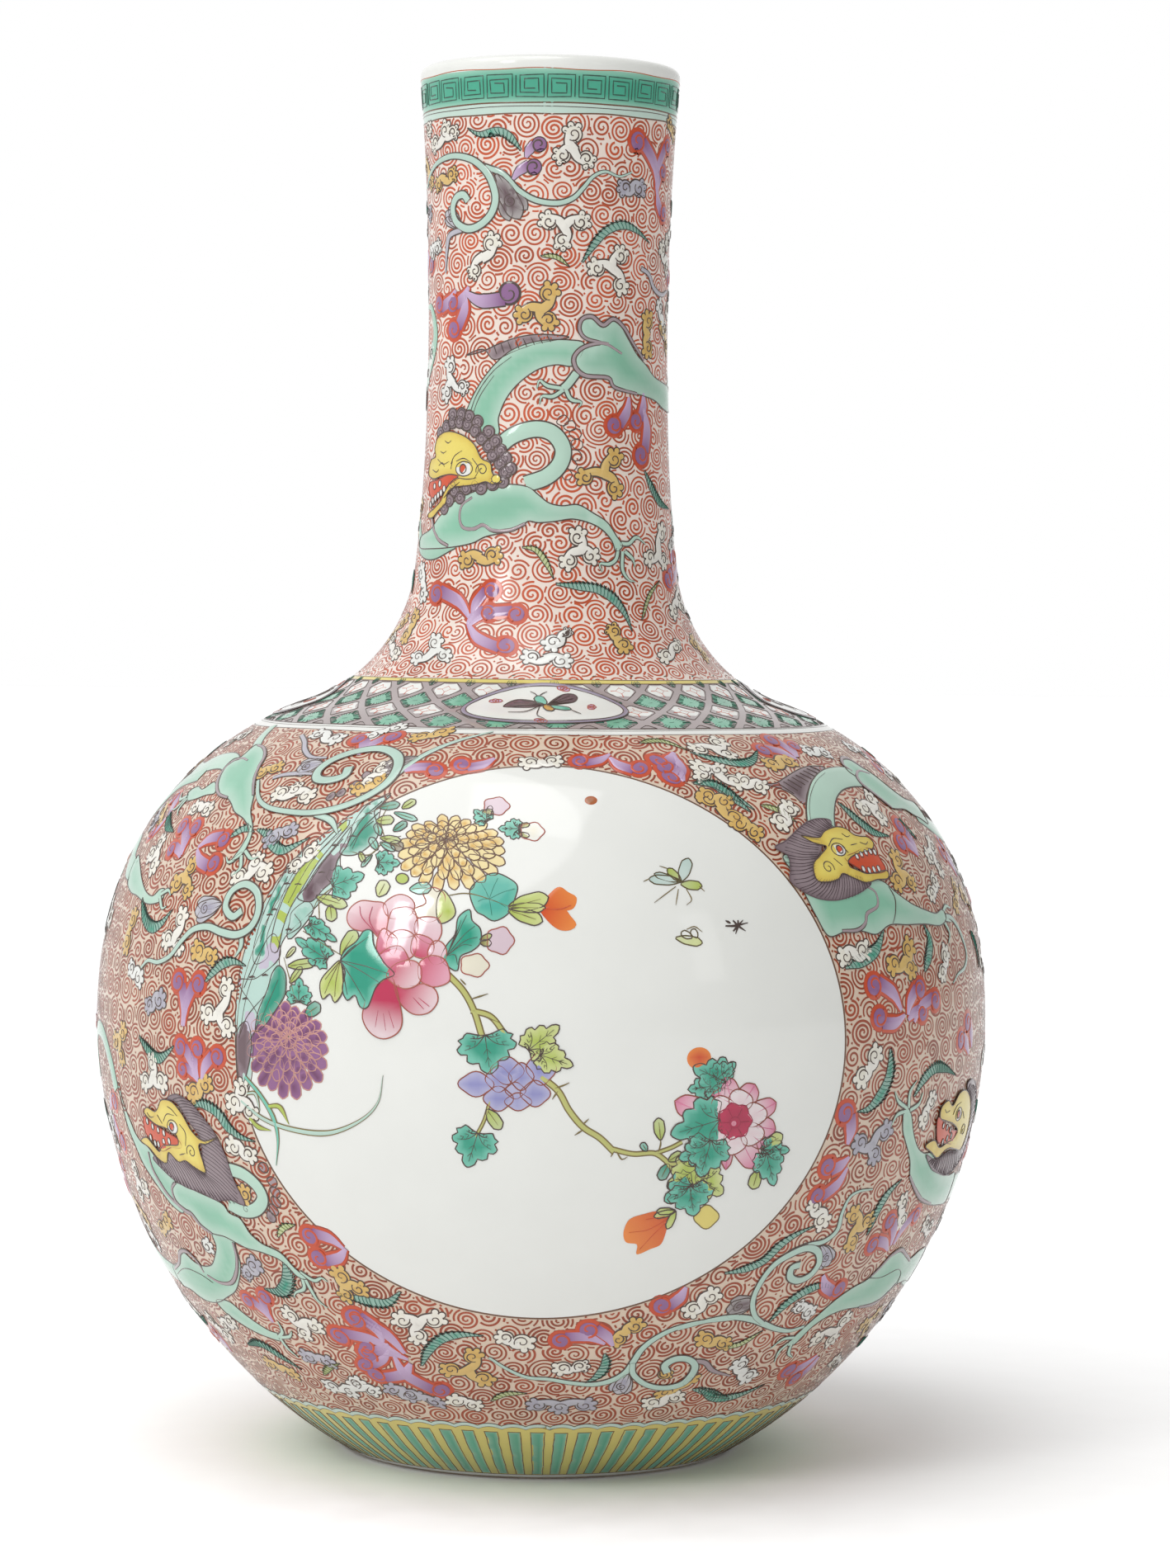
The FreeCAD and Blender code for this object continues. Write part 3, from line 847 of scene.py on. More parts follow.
def scroll_ground(name, node, spacing, pitch, width, red, seed):
    """All the scrolls of one ground, in four pieces. Each is hidden where a neighbour lies nearer."""
    draw = np.random.default_rng(seed)
    low, high = band_edges(node)
    bottom, top = along_at(low) + SCROLL_MARGIN, along_at(high) - SCROLL_MARGIN
    places = scroll_centres(low, high, spacing, draw)
    weights = draw.normal(0, 0.08, len(places)) * spacing
    quarters = [Enamel() for _ in range(4)]
    for i, (angle, along) in enumerate(places):
        path = scroll_path(spacing * 1.05, pitch * draw.uniform(0.92, 1.1), draw.uniform(0, TURN),
                           draw.choice([-1, 1]))
        path = path * (1.0, draw.uniform(0.86, 1.05))
        tone = red * draw.uniform(0.8, 1.15)
        breadth = width * draw.uniform(0.85, 1.15)
        angles, alongs = angle + path[:, 0] / radius_at(along), along + path[:, 1]
        seen = nearest_stretch(path, i, places, weights, spacing, width * 0.45)
        seen &= (alongs > bottom) & (alongs < top) & outside_panels(angles, alongs)
        points, faces = ribbon(path, seen, breadth, angle, along)
        if len(faces):
            quarters[int((angle % TURN) / TURN * 4) % 4].add(points, faces, tone)
    for number, quarter in enumerate(quarters):
        build_piece(f"{name}_{number + 1}", quarter, red_enamel)


scroll_ground("neck_scrolls", "neck_scroll_ground", spacing=9.8, pitch=1.62, width=0.66, red=RED_NECK,
              seed=11)
scroll_ground("body_scrolls", "body_scroll_ground", spacing=10.2, pitch=1.7, width=0.72, red=RED_BODY,
              seed=23)

# ---------------------------------------------------------------- painted figures

TEAL = paint(40, 158, 130)
TEAL_PALE = paint(122, 202, 180)
LEAF_GREEN = paint(182, 200, 92)
LEAF_PALE = paint(214, 222, 150)
OLIVE = paint(128, 110, 62)
TURQUOISE = paint(190, 218, 204)
CREAM = paint(240, 234, 214)
OCHRE = paint(216, 168, 78)
OCHRE_PALE = paint(228, 192, 116)
SLATE = paint(164, 160, 178)
SLATE_PALE = paint(192, 190, 200)
PURPLE = paint(136, 84, 138)
LILAC = paint(205, 178, 212)
CONTOUR_RED = paint(206, 78, 40)
CONTOUR_DARK = paint(150, 58, 40)
ORANGE = paint(242, 142, 66)
ORANGE_DEEP = paint(214, 78, 34)
CRIMSON = paint(200, 48, 88)
PINK = paint(232, 170, 188)
PINK_PALE = paint(240, 218, 222)
PETAL_LINE = paint(176, 92, 76)
BLUE = paint(146, 146, 200)
BLUE_PALE = paint(190, 188, 220)
AUBERGINE = paint(112, 90, 96)
GOLD = paint(222, 172, 74)
GOLD_PALE = paint(246, 226, 164)


class Painting:
    """One painted scene, made as two pieces: patches of raised enamel, and the lines round them."""

    def __init__(self, name, slot):
        self.name = name
        self.slot = slot
        self.fills = Enamel()
        self.lines = Enamel()

    def finish(self):
        """Makes both pieces, with a copy of each on the back of the vase."""
        build_piece(f"{self.name}_enamel", self.fills, raised_enamel, both_sides=True)
        build_piece(f"{self.name}_lines", self.lines, line_enamel, both_sides=True)

    def shape(self, chart, outline, rim, middle, line=DARK, width=0.5, level=0, sharp=False, **more):
        """A patch with its outline."""
        edge = np.asarray(outline, float) if sharp else smooth_path(outline, 1.0 / chart.size, closed=True)
        fill(self.fills, chart, edge, rim, middle, level=level, **more)
        if line is not None:
            stroke(self.lines, chart, edge, width, line, closed=True, sharp=True, level=level)

    def line(self, chart, path, width=0.4, colour=DARK, level=0):
        """A thin line that tapers towards its end."""
        stroke(self.lines, chart, path, width, colour, level=level, taper=(0.6, 0.3))

    def veins(self, chart, root, bend, ends, width=0.4, colour=DARK, level=0):
        """Lines from one root to several ends, each by way of the middle between its end and a bend."""
        for end in ends:
            middle = ((end[0] + bend[0]) / 2, (end[1] + bend[1]) / 2)
            self.line(chart, [root, middle, end], width, colour, level)

    def limb(self, chart, path, width, colour, line=DARK, rim=0.5, level=0, taper=(1.0, 1.0), **more):
        """A stroke with a line down both of its sides."""
        stroke(self.fills, chart, path, width, colour, lift=0.12, level=level + 1, taper=taper, **more)
        under = {key: value for key, value in more.items() if key != "tip"}
        stroke(self.lines, chart, path, width + 2 * rim, line, lift=0.08, level=level, taper=taper, **under)

    def petal(self, chart, base, tip, width, rim, middle, line=DARK, level=0, vein=None, blunt=0.35,
              **more):
        """A petal or plain leaf from its base to its tip. A small blunt puts its widest part near the tip."""
        base, tip = np.asarray(base, float), np.asarray(tip, float)
        along = tip - base
        side = np.array([-along[1], along[0]]) / np.hypot(*along)
        t = np.array([0.0, 0.15, 0.35, 0.6, 0.82, 0.95])
        half = width / 2 * np.sin(math.pi * np.array([0.06, 0.2, 0.4, 0.5, 0.62, 0.86]) ** (blunt / 0.35))
        left = base + along * t[:, None] + side * half[:, None]
        right = base + along * t[:, None] - side * half[:, None]
        outline = np.concatenate([right, [tip], left[::-1]])
        flow = (tip, base) if "bleed" not in more else None
        self.shape(chart, outline, rim, middle, line, level=level, flow=flow, **more)
        if vein is not None:
            self.line(chart, [base + along * s for s in (0.1, 0.4, 0.8)], 0.35, vein, level=level + 1)

    def disc(self, chart, centre, radii, rim, middle, line=DARK, level=0, lobes=0, **more):
        """A round patch, wavy if it has lobes."""
        t = np.arange(28) * TURN / 28
        reach = 1 + (0.08 * np.cos(lobes * t) if lobes else 0)
        outline = np.stack([np.cos(t) * radii[0] * reach, np.sin(t) * radii[-1] * reach], 1) + centre
        self.shape(chart, outline, rim, middle, line, level=level, **more)

    def lobed_leaf(self, chart, base, tip, width, deep=TEAL, pale=TEAL_PALE, level=0):
        """A leaf with five toothed lobes, and a vein for each."""
        base, tip = np.asarray(base, float), np.asarray(tip, float)
        along = tip - base
        side = np.array([-along[1], along[0]]) / np.hypot(*along) * width
        half = np.array([(0.10, 0.03), (0.34, -0.06), (0.42, 0.05), (0.52, 0.10), (0.46, 0.20),
                         (0.56, 0.32),
                         (0.50, 0.46), (0.38, 0.48), (0.40, 0.64), (0.30, 0.72), (0.18, 0.72),
                         (0.16, 0.88)])
        spots = np.concatenate([half, [(0, 1.02)], half[::-1] * (-1, 1)])
        outline = base + spots[:, :1] * side + spots[:, 1:] * along
        self.shape(chart, outline, pale, deep, level=level, bleed=3.2)
        for x, y in ((0, 0.85), (0.42, 0.36), (-0.42, 0.36), (0.28, 0.08), (-0.28, 0.08)):
            end = base + x * side + y * along
            mid = base + 0.45 * x * side + (0.6 * y + 0.06) * along
            self.line(chart, [base + 0.04 * along, mid, end], 0.45, level=level + 1)
            vein = end - base
            for share, out in ((0.45, 0.12), (0.7, 0.09)):
                root = base + share * vein
                for hand in (-1, 1):
                    twig = root + vein * 0.16 + hand * np.array([-vein[1], vein[0]]) * out
                    self.line(chart, [root, (root + twig) / 2, twig], 0.3, level=level + 1)

    def curl(self, chart, centre, radius, turns, start, hand, width=0.45, colour=DARK, level=2):
        """A spiral line that winds from its rim into a point."""
        t = np.linspace(0, 1, int(14 * turns) + 3)
        angle = math.radians(start) + hand * TURN * turns * t
        reach = radius * (1 - 0.82 * t)
        path = np.stack([np.cos(angle) * reach, np.sin(angle) * reach], 1) + centre
        stroke(self.lines, chart, path, width, colour, level=level, sharp=True)


# ---------------------------------------------------------------- the flowers on the panels

PANEL_CHART = Chart(0, PANEL_HEIGHT)


def chrysanthemum(art, heart, middle, reach, rings, rim, core, line, level, petals=28, width=3.4):
    """A many-petalled flower seen a little from above: rings of petals that draw in to its heart."""
    draw = np.random.default_rng(17)
    heart, middle = np.array(heart, float), np.array(middle, float)
    for number in range(rings):
        share = 1 - number / rings
        centre = heart + (middle - heart) * share
        count = max(6, int(petals * share))
        for i in range(count):
            angle = TURN * (i + 0.5 * (number % 2) + draw.uniform(-0.15, 0.15)) / count
            out = np.array([math.cos(angle), math.sin(angle)]) * reach
            tip = centre + out * share * draw.uniform(0.93, 1.04)
            away = tip - heart
            length = np.hypot(*away)
            base = tip - away / length * min(length * 0.85, 8.5)
            art.petal(PANEL_CHART, base, tip, width, rim, core, line, level=level + number, bleed=1.2)


def rock(art):
    """The garden rock along the left edge: long strips of pale turquoise, teal, green and aubergine."""
    chart = PANEL_CHART
    stone = paint(192, 222, 212)
    violet = paint(206, 198, 214)
    teal = paint(28, 150, 122)
    shade_rim = paint(150, 130, 138)
    art.shape(chart, [(-57, 97), (-67, 91), (-77, 83), (-89, 73), (-99, 63), (-107, 52), (-113, 40),
                      (-118, 26),
                      (-120, 8), (-119, -14), (-116, -23), (-112, -14), (-110, 4), (-101, 11), (-97, 20),
                      (-100, 28), (-98, 37), (-86, 48), (-76, 60), (-75, 71), (-63, 80), (-60, 92)],
              stone, stone, level=0)
    art.shape(chart, [(-119, 20), (-110, 22), (-100, 30), (-102, 38), (-106, 36), (-110, 27), (-115, 14),
                      (-118, -4), (-114, -2), (-109, 8)], violet, violet, level=1)
    art.shape(chart, [(-91, 68), (-97, 59), (-102, 47), (-106, 37), (-105, 30), (-111, 27), (-112, 33),
                      (-108, 46), (-103, 56), (-97, 65), (-90, 73)], stone, teal, level=1, bleed=1.6)
    art.shape(chart, [(-74, 84), (-80, 78), (-88, 69), (-95, 60), (-100, 50), (-103, 41), (-104, 33),
                      (-101, 32),
                      (-99, 40), (-96, 48), (-91, 56), (-85, 66), (-79, 74), (-73, 82)],
              LEAF_GREEN, LEAF_GREEN, level=2, bleed=1.0)
    art.shape(chart, [(-72, 81), (-78, 73), (-85, 64), (-90, 56), (-93, 52), (-87, 51), (-82, 56),
                      (-78, 60),
                      (-77, 67), (-73, 74)], shade_rim, paint(104, 80, 88), level=2, bleed=1.2)
    art.shape(chart, [(-57, 96), (-65, 92), (-70, 85), (-74, 75), (-76, 70), (-69, 70), (-62, 76),
                      (-61, 81),
                      (-63, 88), (-60, 92)], stone, teal, level=1, bleed=2.0)
    art.shape(chart, [(-95, 47), (-89, 51), (-86, 48), (-89, 43), (-95, 37), (-97, 38), (-96, 43)],
              stone, paint(160, 205, 190), level=1)
    art.shape(chart, [(-100, 27), (-97, 24), (-97, 17), (-101, 11), (-106, 5), (-110, 3), (-109, 10),
                      (-105, 18),
                      (-103, 24)], mix(teal, stone, 0.35), teal, level=2, bleed=1.2)
    art.shape(chart, [(-119, 2), (-114, 6), (-112, -2), (-114, -12), (-117, -18), (-119, -10)],
              shade_rim, AUBERGINE, level=2, bleed=1.2)
    for start, middle, end in (((-60, 93), (-68, 84), (-73, 74)), ((-61, 88), (-67, 81), (-72, 73)),
                               ((-63, 84), (-68, 79), (-71, 72)), ((-76, 80), (-88, 66), (-97, 50)),
                               ((-75, 76), (-83, 66), (-90, 55)), ((-98, 60), (-104, 48), (-109, 35)),
                               ((-94, 46), (-91, 42), (-97, 38)), ((-100, 22), (-104, 14), (-108, 6)),
                               ((-116, 18), (-112, 26), (-106, 36)), ((-118, 0), (-114, 8), (-106, 16))):
        art.line(chart, [start, middle, end], 0.45, level=3)
    for x, y in ((-65, 87), (-71, 77), (-78, 73), (-83, 62), (-93, 57), (-98, 57), (-103, 47), (-105, 45),
                 (-96, 40), (-112, 22), (-115, 14), (-106, 23)):
        art.line(chart, [(x - 1.5, y), (x, y + 0.4), (x + 1.3, y + 0.2)], 0.9, level=3)


def top_leaves(art):
    """Small leaves on the sprig between the rock and the yellow flower."""
    for base, tip, width, tint in (
        ((-61, 90), (-53, 92), 3.6, TEAL), ((-52, 90), (-47, 94), 3.2, LEAF_GREEN),
        ((-55, 88), (-46, 85), 2.8, TEAL_PALE), ((-62, 84), (-55, 85), 4.0, LEAF_GREEN),
        ((-60, 78), (-62, 83), 3.0, TEAL_PALE), ((-55, 80), (-50, 84), 3.2, TEAL),
        ((-60, 77), (-52, 76), 3.0, LEAF_GREEN), ((-61, 72), (-64, 77), 3.0, TEAL_PALE),
        ((-60, 75), (-54, 72), 2.6, TEAL_PALE), ((-63, 70), (-67, 65), 1.8, TEAL_PALE),
        ((-68, 71), (-66, 67), 2.4, LEAF_GREEN), ((-56, 75), (-51, 73), 4.0, OLIVE),
        ((-48, 57), (-40, 58), 4.4, TEAL_PALE), ((-60, 54), (-57, 60), 5.0, LEAF_PALE),
        ((-85, 53), (-72, 50), 4.2, LEAF_GREEN), ((-79, 50), (-78, 44), 4.6, LEAF_GREEN),
        ((-96, 27), (-84, 29), 3.6, LEAF_GREEN), ((-97, 30), (-93, 34), 2.0, LEAF_PALE),
        ((-95, 21), (-90, 27), 2.8, LEAF_GREEN), ((-88, 10), (-82, 14), 4.6, TEAL),
        ((-74, 32), (-68, 41), 5.4, LEAF_GREEN),
    ):
        pale = mix(tint, WHITE, 0.35)
        art.petal(PANEL_CHART, base, tip, width, pale, tint, level=2, vein=OLIVE)
    for path in ([(-58, 76), (-60, 84), (-57, 92)], [(-72, 71), (-64, 70), (-58, 76), (-52, 78)],
                 [(-62, 84), (-59, 80)], [(-78, 57), (-84, 52), (-86, 48)],
                 [(-90, 40), (-80, 35), (-72, 31)],
                 [(-84, 52), (-83, 42)], [(-92, 14), (-95, 22), (-98, 30)]):
        art.line(PANEL_CHART, path, 0.6, OLIVE, level=1)
    for base, tip, width, level in (((-79, 57), (-66, 62), 12, 2), ((-61, 67), (-52, 67), 9, 2),
                                    ((-91, 14), (-91, 23), 10, 2), ((-79, 30), (-93, 37), 9, 2),
                                    ((-88, 43), (-76, 37), 7, 3)):
        art.lobed_leaf(PANEL_CHART, base, tip, width, level=level)
    art.disc(PANEL_CHART, (-51, 61), (2.4, 2.0), LEAF_GREEN, OLIVE, level=2)


def buds(art):
    """Round buds on the right of the yellow flower, and the orange flower with its leaves."""
    chart = PANEL_CHART
    rosy = paint(226, 204, 214)
    for centre, radii, rim, core in (((-17, 92), (4.6, 4.0), rosy, rosy),
                                     ((-4, 81), (4.2, 3.8), WHITE, CREAM),
                                     ((-15, 39), (4.8, 4.8), rosy, rosy),
                                     ((-24, 30), (5.0, 4.0), CREAM, CREAM)):
        art.disc(chart, centre, radii, rim, core, PETAL_LINE, level=1, lobes=5)
    for base, tip, width in (((-22, 89), (-18, 89), 3), ((-20, 87), (-19, 92), 2), ((-9, 80), (-5, 79), 2),
                             ((-9, 83), (-5, 84), 2), ((-22, 38), (-18, 38), 2.4),
                             ((-22, 39), (-18, 41), 2)):
        art.petal(chart, base, tip, width, LEAF_PALE, OLIVE, level=2)
    art.lobed_leaf(chart, (-20, 85), (-25, 90), 7, level=2)
    art.lobed_leaf(chart, (-8, 82), (-16, 82), 8, level=2)
    round_leaf = [(-24, 50), (-26, 57), (-22, 62), (-17, 64), (-12, 62), (-9, 59), (-10, 54), (-12, 49),
                  (-17, 46), (-21, 48)]
    art.shape(chart, round_leaf, TEAL_PALE, paint(84, 184, 166), level=1)
    art.veins(chart, (-19, 54), (-19, 55),
              ((-22, 60), (-16, 62), (-10, 58), (-13, 51), (-18, 48), (-23, 53)),
              colour=TEAL * 0.6, level=2)
    art.line(chart, [(-34, 55), (-28, 56), (-22, 55), (-11, 51)], 0.6, OLIVE, level=2)
    orange_top = [(-1, 51), (3, 57), (6, 59), (9, 57), (12, 55), (11, 51), (7, 50)]
    orange_low = [(-1, 51), (7, 51), (10, 48), (12, 45), (10, 43), (6, 43), (2, 46)]
    art.shape(chart, orange_top, ORANGE, ORANGE_DEEP, line=None, level=1, flow=((11, 56), (0, 50)))
    art.shape(chart, orange_low, ORANGE, ORANGE_DEEP, line=None, level=2, flow=((11, 45), (0, 50)))
    art.line(chart, [(10, 52), (6, 50.6), (0, 50.5)], 0.4, ORANGE_DEEP, level=3)
    for base, tip, width in (((-12, 51), (2, 55), 6.0), ((-12, 50), (0, 46), 5.0),
                             ((-12, 51), (1, 51), 3.5)):
        art.petal(chart, base, tip, width, LEAF_PALE, LEAF_GREEN, level=3, vein=OLIVE)
    art.shape(chart, [(-36, 32), (-34, 37), (-31, 41), (-30, 47), (-26, 50), (-25, 46), (-22, 43),
                      (-22, 38),
                      (-25, 35), (-29, 33), (-30, 28), (-33, 29)], TEAL_PALE, TEAL, level=2)
    art.veins(chart, (-34, 33), (-32, 37),
              ((-27, 48), (-24, 44), (-23, 40), (-25, 37), (-29, 46), (-30, 30), (-31, 42)), level=3)
    art.shape(chart, [(-37, 45), (-33, 46), (-31, 49), (-33, 54), (-36, 57), (-38, 52)], LEAF_PALE,
              LEAF_GREEN,
              level=2)


def peony(art):
    """The large pink flower, petal by petal from the back to the front."""
    chart = PANEL_CHART
    pale = (PINK_PALE, PINK)
    deep = (PINK, CRIMSON)
    for level, outline, (light, dark), tip, root in (
        (1, [(-72, 45), (-71, 49), (-67, 52), (-62, 52), (-57, 51), (-56, 44), (-58, 38), (-62, 41),
             (-66, 41),
             (-70, 42)], (PINK_PALE, CRIMSON), (-70, 51), (-58, 37)),
        (1, [(-58, 50), (-56, 53), (-52, 55), (-48, 54), (-46, 51), (-48, 47), (-55, 46)], pale, (-51, 56),
         (-51, 36)),
        (1, [(-47, 49), (-42, 52), (-43, 56), (-39, 58), (-35, 55), (-36, 48), (-41, 45)],
         (CREAM, CREAM), (-40, 58), (-42, 44)),
        (2, [(-56, 40), (-55, 48), (-52, 50), (-47, 50), (-45, 46), (-45, 41), (-50, 39)],
         pale, (-50, 51), (-50, 28)),
        (2, [(-46, 42), (-45, 46), (-41, 47), (-37, 46), (-36, 41), (-39, 37), (-44, 39)],
         pale, (-39, 48), (-48, 30)),
        (3, [(-59, 30), (-60, 37), (-58, 42), (-55, 41), (-52, 38), (-54, 32)], deep, (-60, 43), (-54, 31)),
        (3, [(-56, 35), (-55, 40), (-51, 42), (-47, 41), (-45, 38), (-46, 33), (-51, 31)],
         pale, (-50, 43), (-50, 27)),
        (3, [(-47, 34), (-46, 40), (-42, 40), (-39, 38), (-39, 34), (-43, 32)], deep, (-42, 42), (-46, 32)),
        (3, [(-41, 34), (-39, 38), (-36, 38), (-34, 35), (-35, 31), (-39, 30)], pale, (-35, 39), (-44, 28)),
        (4, [(-44, 25), (-44, 30), (-40, 33), (-35, 32), (-33, 28), (-33, 24), (-38, 22), (-42, 23)],
         deep, (-34, 25), (-46, 30)),
        (4, [(-59, 26), (-60, 31), (-56, 35), (-51, 36), (-48, 32), (-47, 27), (-52, 25)],
         deep, (-56, 37), (-50, 25)),
        (5, [(-56, 26), (-52, 30), (-46, 31), (-43, 28), (-44, 23), (-49, 21), (-54, 23)],
         (PINK_PALE, CRIMSON), (-44, 22), (-55, 29)),
        (3, [(-53, 24), (-47, 22), (-42, 23), (-38, 21), (-37, 17), (-40, 13), (-45, 12), (-49, 14),
             (-52, 18)],
         (PINK_PALE, CRIMSON), (-38, 15), (-50, 21)),
        (4, [(-63, 20), (-58, 23), (-54, 25), (-51, 16), (-50, 9), (-52, 5), (-57, 3), (-62, 5), (-65, 10),
             (-64, 16)], (PINK_PALE, CRIMSON * 0.95), (-58, 5), (-56, 16)),
    ):
        art.shape(chart, outline, light, dark, PETAL_LINE, level=level, flow=(tip, root))
    for path in ([(-62, 50), (-63, 45), (-60, 40)], [(-67, 50), (-66, 46), (-61, 41)],
                 [(-56, 6), (-57, 12)],
                 [(-60, 7), (-59, 13)], [(-53, 7), (-55, 13)], [(-40, 15), (-44, 18)],
                 [(-42, 14), (-46, 18)]):
        art.line(chart, path, 0.35, CRIMSON, level=5)
    teal_leaf = [(-74, 30), (-72, 34), (-68, 37), (-65, 41), (-62, 41), (-61, 36), (-57, 30), (-53, 26),
                 (-57, 24), (-60, 21), (-63, 14), (-66, 14), (-68, 18), (-71, 16), (-73, 20), (-72, 26)]
    art.shape(chart, teal_leaf, TEAL_PALE, TEAL, level=6)
    art.shape(chart, [(-74, 30), (-78, 27), (-82, 22), (-81, 16), (-78, 18), (-76, 15), (-73, 19),
                      (-73, 25)],
              LEAF_PALE, LEAF_GREEN, level=5)
    art.veins(chart, (-74, 30), (-74, 31),
              ((-63, 39), (-55, 26), (-64, 16), (-71, 18), (-59, 23), (-68, 36)),
              width=0.5, level=7)
    art.veins(chart, (-74, 30), (-75, 29), ((-80, 18), (-76, 17), (-80, 23)), colour=OLIVE, level=7)


def blue_branch(art):
    """The branch below the peony, its blue flower and the leaves round it."""
    chart = PANEL_CHART
    wood = paint(196, 196, 116)
    for path, width in (([(-34, 27), (-28, 21), (-24, 14), (-21, 5)], 1.8),
                        ([(-25, 14), (-18, 12), (-13, 6)], 1.6),
                        ([(0, -9), (6, -14), (10, -21), (15, -27), (21, -31), (26, -36)], 1.8),
                        ([(25, -35), (33, -37), (41, -37), (47, -41), (52, -40)], 1.4),
                        ([(41, -37), (47, -35), (51, -33)], 1.1), ([(45, -40), (48, -44), (51, -47)], 1.1),
                        ([(-18, -18), (-20, -25), (-23, -31)], 0.7)):
        art.limb(chart, path, width, wood, OLIVE, rim=0.4, level=1)
    for path in ([(-25, 18), (-22, 19), (-19, 20)], [(-27, 23), (-29, 25)], [(-20, 12), (-15, 10)],
                 [(5, -13), (8, -12), (10, -11)], [(6, -14), (4, -17)], [(15, -26), (17, -24)],
                 [(15, -28), (12, -30)], [(26, -36), (25, -38)], [(27, -36), (29, -39), (31, -38)]):
        art.line(chart, path, 0.7, OLIVE, level=2)
    for base, tip, width, tint in (((43, -32), (42, -24), 4.0, LEAF_GREEN),
                                   ((-19, -21), (-14, -28), 4.4, LEAF_GREEN),
                                   ((46, -41), (43, -47), 4.0, TEAL),
                                   ((46, -40), (51, -37), 3.2, LEAF_GREEN),
                                   ((38, -36), (36, -33), 2.4, TEAL_PALE)):
        art.petal(chart, base, tip, width, mix(tint, WHITE, 0.3), tint, level=2, vein=OLIVE)
    art.line(chart, [(42, -37), (43, -34), (43, -31)], 0.7, OLIVE, level=1)
    for centre, radii in (((-23, -12), (6.0, 4.2)), ((-15, -17), (5.0, 4.2)), ((-8, -18), (4.5, 3.0)),
                          ((-2, -15), (5.0, 4.4)), ((0, -6), (5.0, 5.6)), ((-7, -9), (4.2, 4.6)),
                          ((-15, -10), (4.4, 4.4)), ((-12, -7), (5.6, 4.6)), ((-9, -14), (3.4, 2.8))):
        art.disc(chart, centre, radii, BLUE_PALE, BLUE, PETAL_LINE * 0.7, level=2, lobes=4, bleed=3.0)
    art.lobed_leaf(chart, (-20, 6), (-18, -8), 19, level=3)
    art.lobed_leaf(chart, (-5, 0), (6, 9), 11, LEAF_GREEN, LEAF_PALE, level=3)
    art.lobed_leaf(chart, (-1, -1), (11, -5), 10, LEAF_GREEN, LEAF_PALE, level=4)
    art.lobed_leaf(chart, (-22, -29), (-26, -42), 15, level=2)


def right_spray(art):
    """The pink and white flower on the right, with its leaves and buds."""
    chart = PANEL_CHART
    light = paint(246, 238, 238)
    blush = paint(226, 130, 164)
    art.disc(chart, (57, -3), (4.6, 4.0), ORANGE, ORANGE_DEEP, line=None, level=1)
    art.disc(chart, (61, -62), (4.6, 4.4), YELLOW, YELLOW, OLIVE, level=1, lobes=4)
    for base, tip, width, level in (((68, -12), (55, -6), 14, 2), ((62, -13), (53, -14), 9, 1),
                                    ((63, -11), (71, -5), 9, 2)):
        art.lobed_leaf(chart, base, tip, width, level=level)
    for base, tip, width in (((71, -20), (62, -16), 9), ((70, -20), (67, -10), 9),
                             ((74, -20), (79, -13), 9),
                             ((78, -24), (88, -20), 8), ((78, -28), (88, -30), 9),
                             ((73, -32), (80, -44), 10),
                             ((69, -32), (68, -44), 5), ((62, -24), (48, -18), 10),
                             ((76, -30), (84, -36), 7)):
        art.petal(chart, base, tip, width, blush, light, PETAL_LINE * 0.75, level=2, blunt=0.2)
        middle = (np.array(base) + tip) / 2
        art.line(chart, [tip, middle, base], 0.6, blush, level=3)
    for centre in ((66, -21), (73, -19), (79, -24), (78, -31), (71, -34), (65, -31)):
        art.disc(chart, centre, (4.8, 4.4), light, PINK_PALE, PETAL_LINE * 0.75, level=4, lobes=3)
    art.disc(chart, (71, -26), (6.6, 6.4), CRIMSON, CRIMSON * 0.8, CRIMSON * 0.7, level=6, lobes=7)
    art.disc(chart, (71, -26.5), (2.2, 2.0), PINK, CRIMSON, CRIMSON * 0.7, level=7)
    for angle in range(0, 360, 60):
        reach = np.array([math.cos(math.radians(angle)), math.sin(math.radians(angle))])
        art.line(chart, [np.array((71, -26.4)) + reach * 2, np.array((71, -26.2)) + reach * 5.6], 0.45,
                 CRIMSON * 0.6, level=7)
    for base, tip, width, level in (((66, -25), (47, -30), 18, 5), ((62, -32), (58, -46), 16, 6),
                                    ((60, -36), (50, -39), 11, 5), ((82, -37), (94, -38), 9, 3),
                                    ((84, -38), (88, -51), 12, 4)):
        art.lobed_leaf(chart, base, tip, width, level=level)
    art.petal(chart, (82, -37), (91, -32), 5, LEAF_PALE, LEAF_GREEN, level=3, vein=OLIVE)
    art.petal(chart, (81, -45), (79, -52), 5, LEAF_PALE, LEAF_GREEN, level=3, vein=OLIVE)
    art.lobed_leaf(chart, (58, -42), (46, -50), 14, LEAF_GREEN, LEAF_PALE, level=3)
    art.lobed_leaf(chart, (58, -47), (67, -53), 14, LEAF_GREEN, LEAF_PALE, level=3)
    art.lobed_leaf(chart, (56, -49), (45, -55), 14, level=4)
    art.lobed_leaf(chart, (54, -49), (56, -61), 16, level=5)
    art.shape(chart, [(47, -62), (43, -59), (37, -60), (32, -62), (30, -67), (31, -71), (35, -72),
                      (35, -76),
                      (40, -74), (44, -72), (46, -66)], ORANGE, ORANGE_DEEP, line=None, level=2,
              flow=((32, -70), (48, -60)))
    for path in ([(46, -62), (39, -66), (32, -67)], [(46, -63), (41, -68), (36, -74)],
                 [(45, -61), (38, -62)]):
        art.line(chart, path, 0.45, ORANGE_DEEP, level=3)
    for tip in ((42, -59), (41, -61), (46, -66)):
        art.petal(chart, (49, -59), tip, 2.6, LEAF_PALE, LEAF_GREEN, level=4)


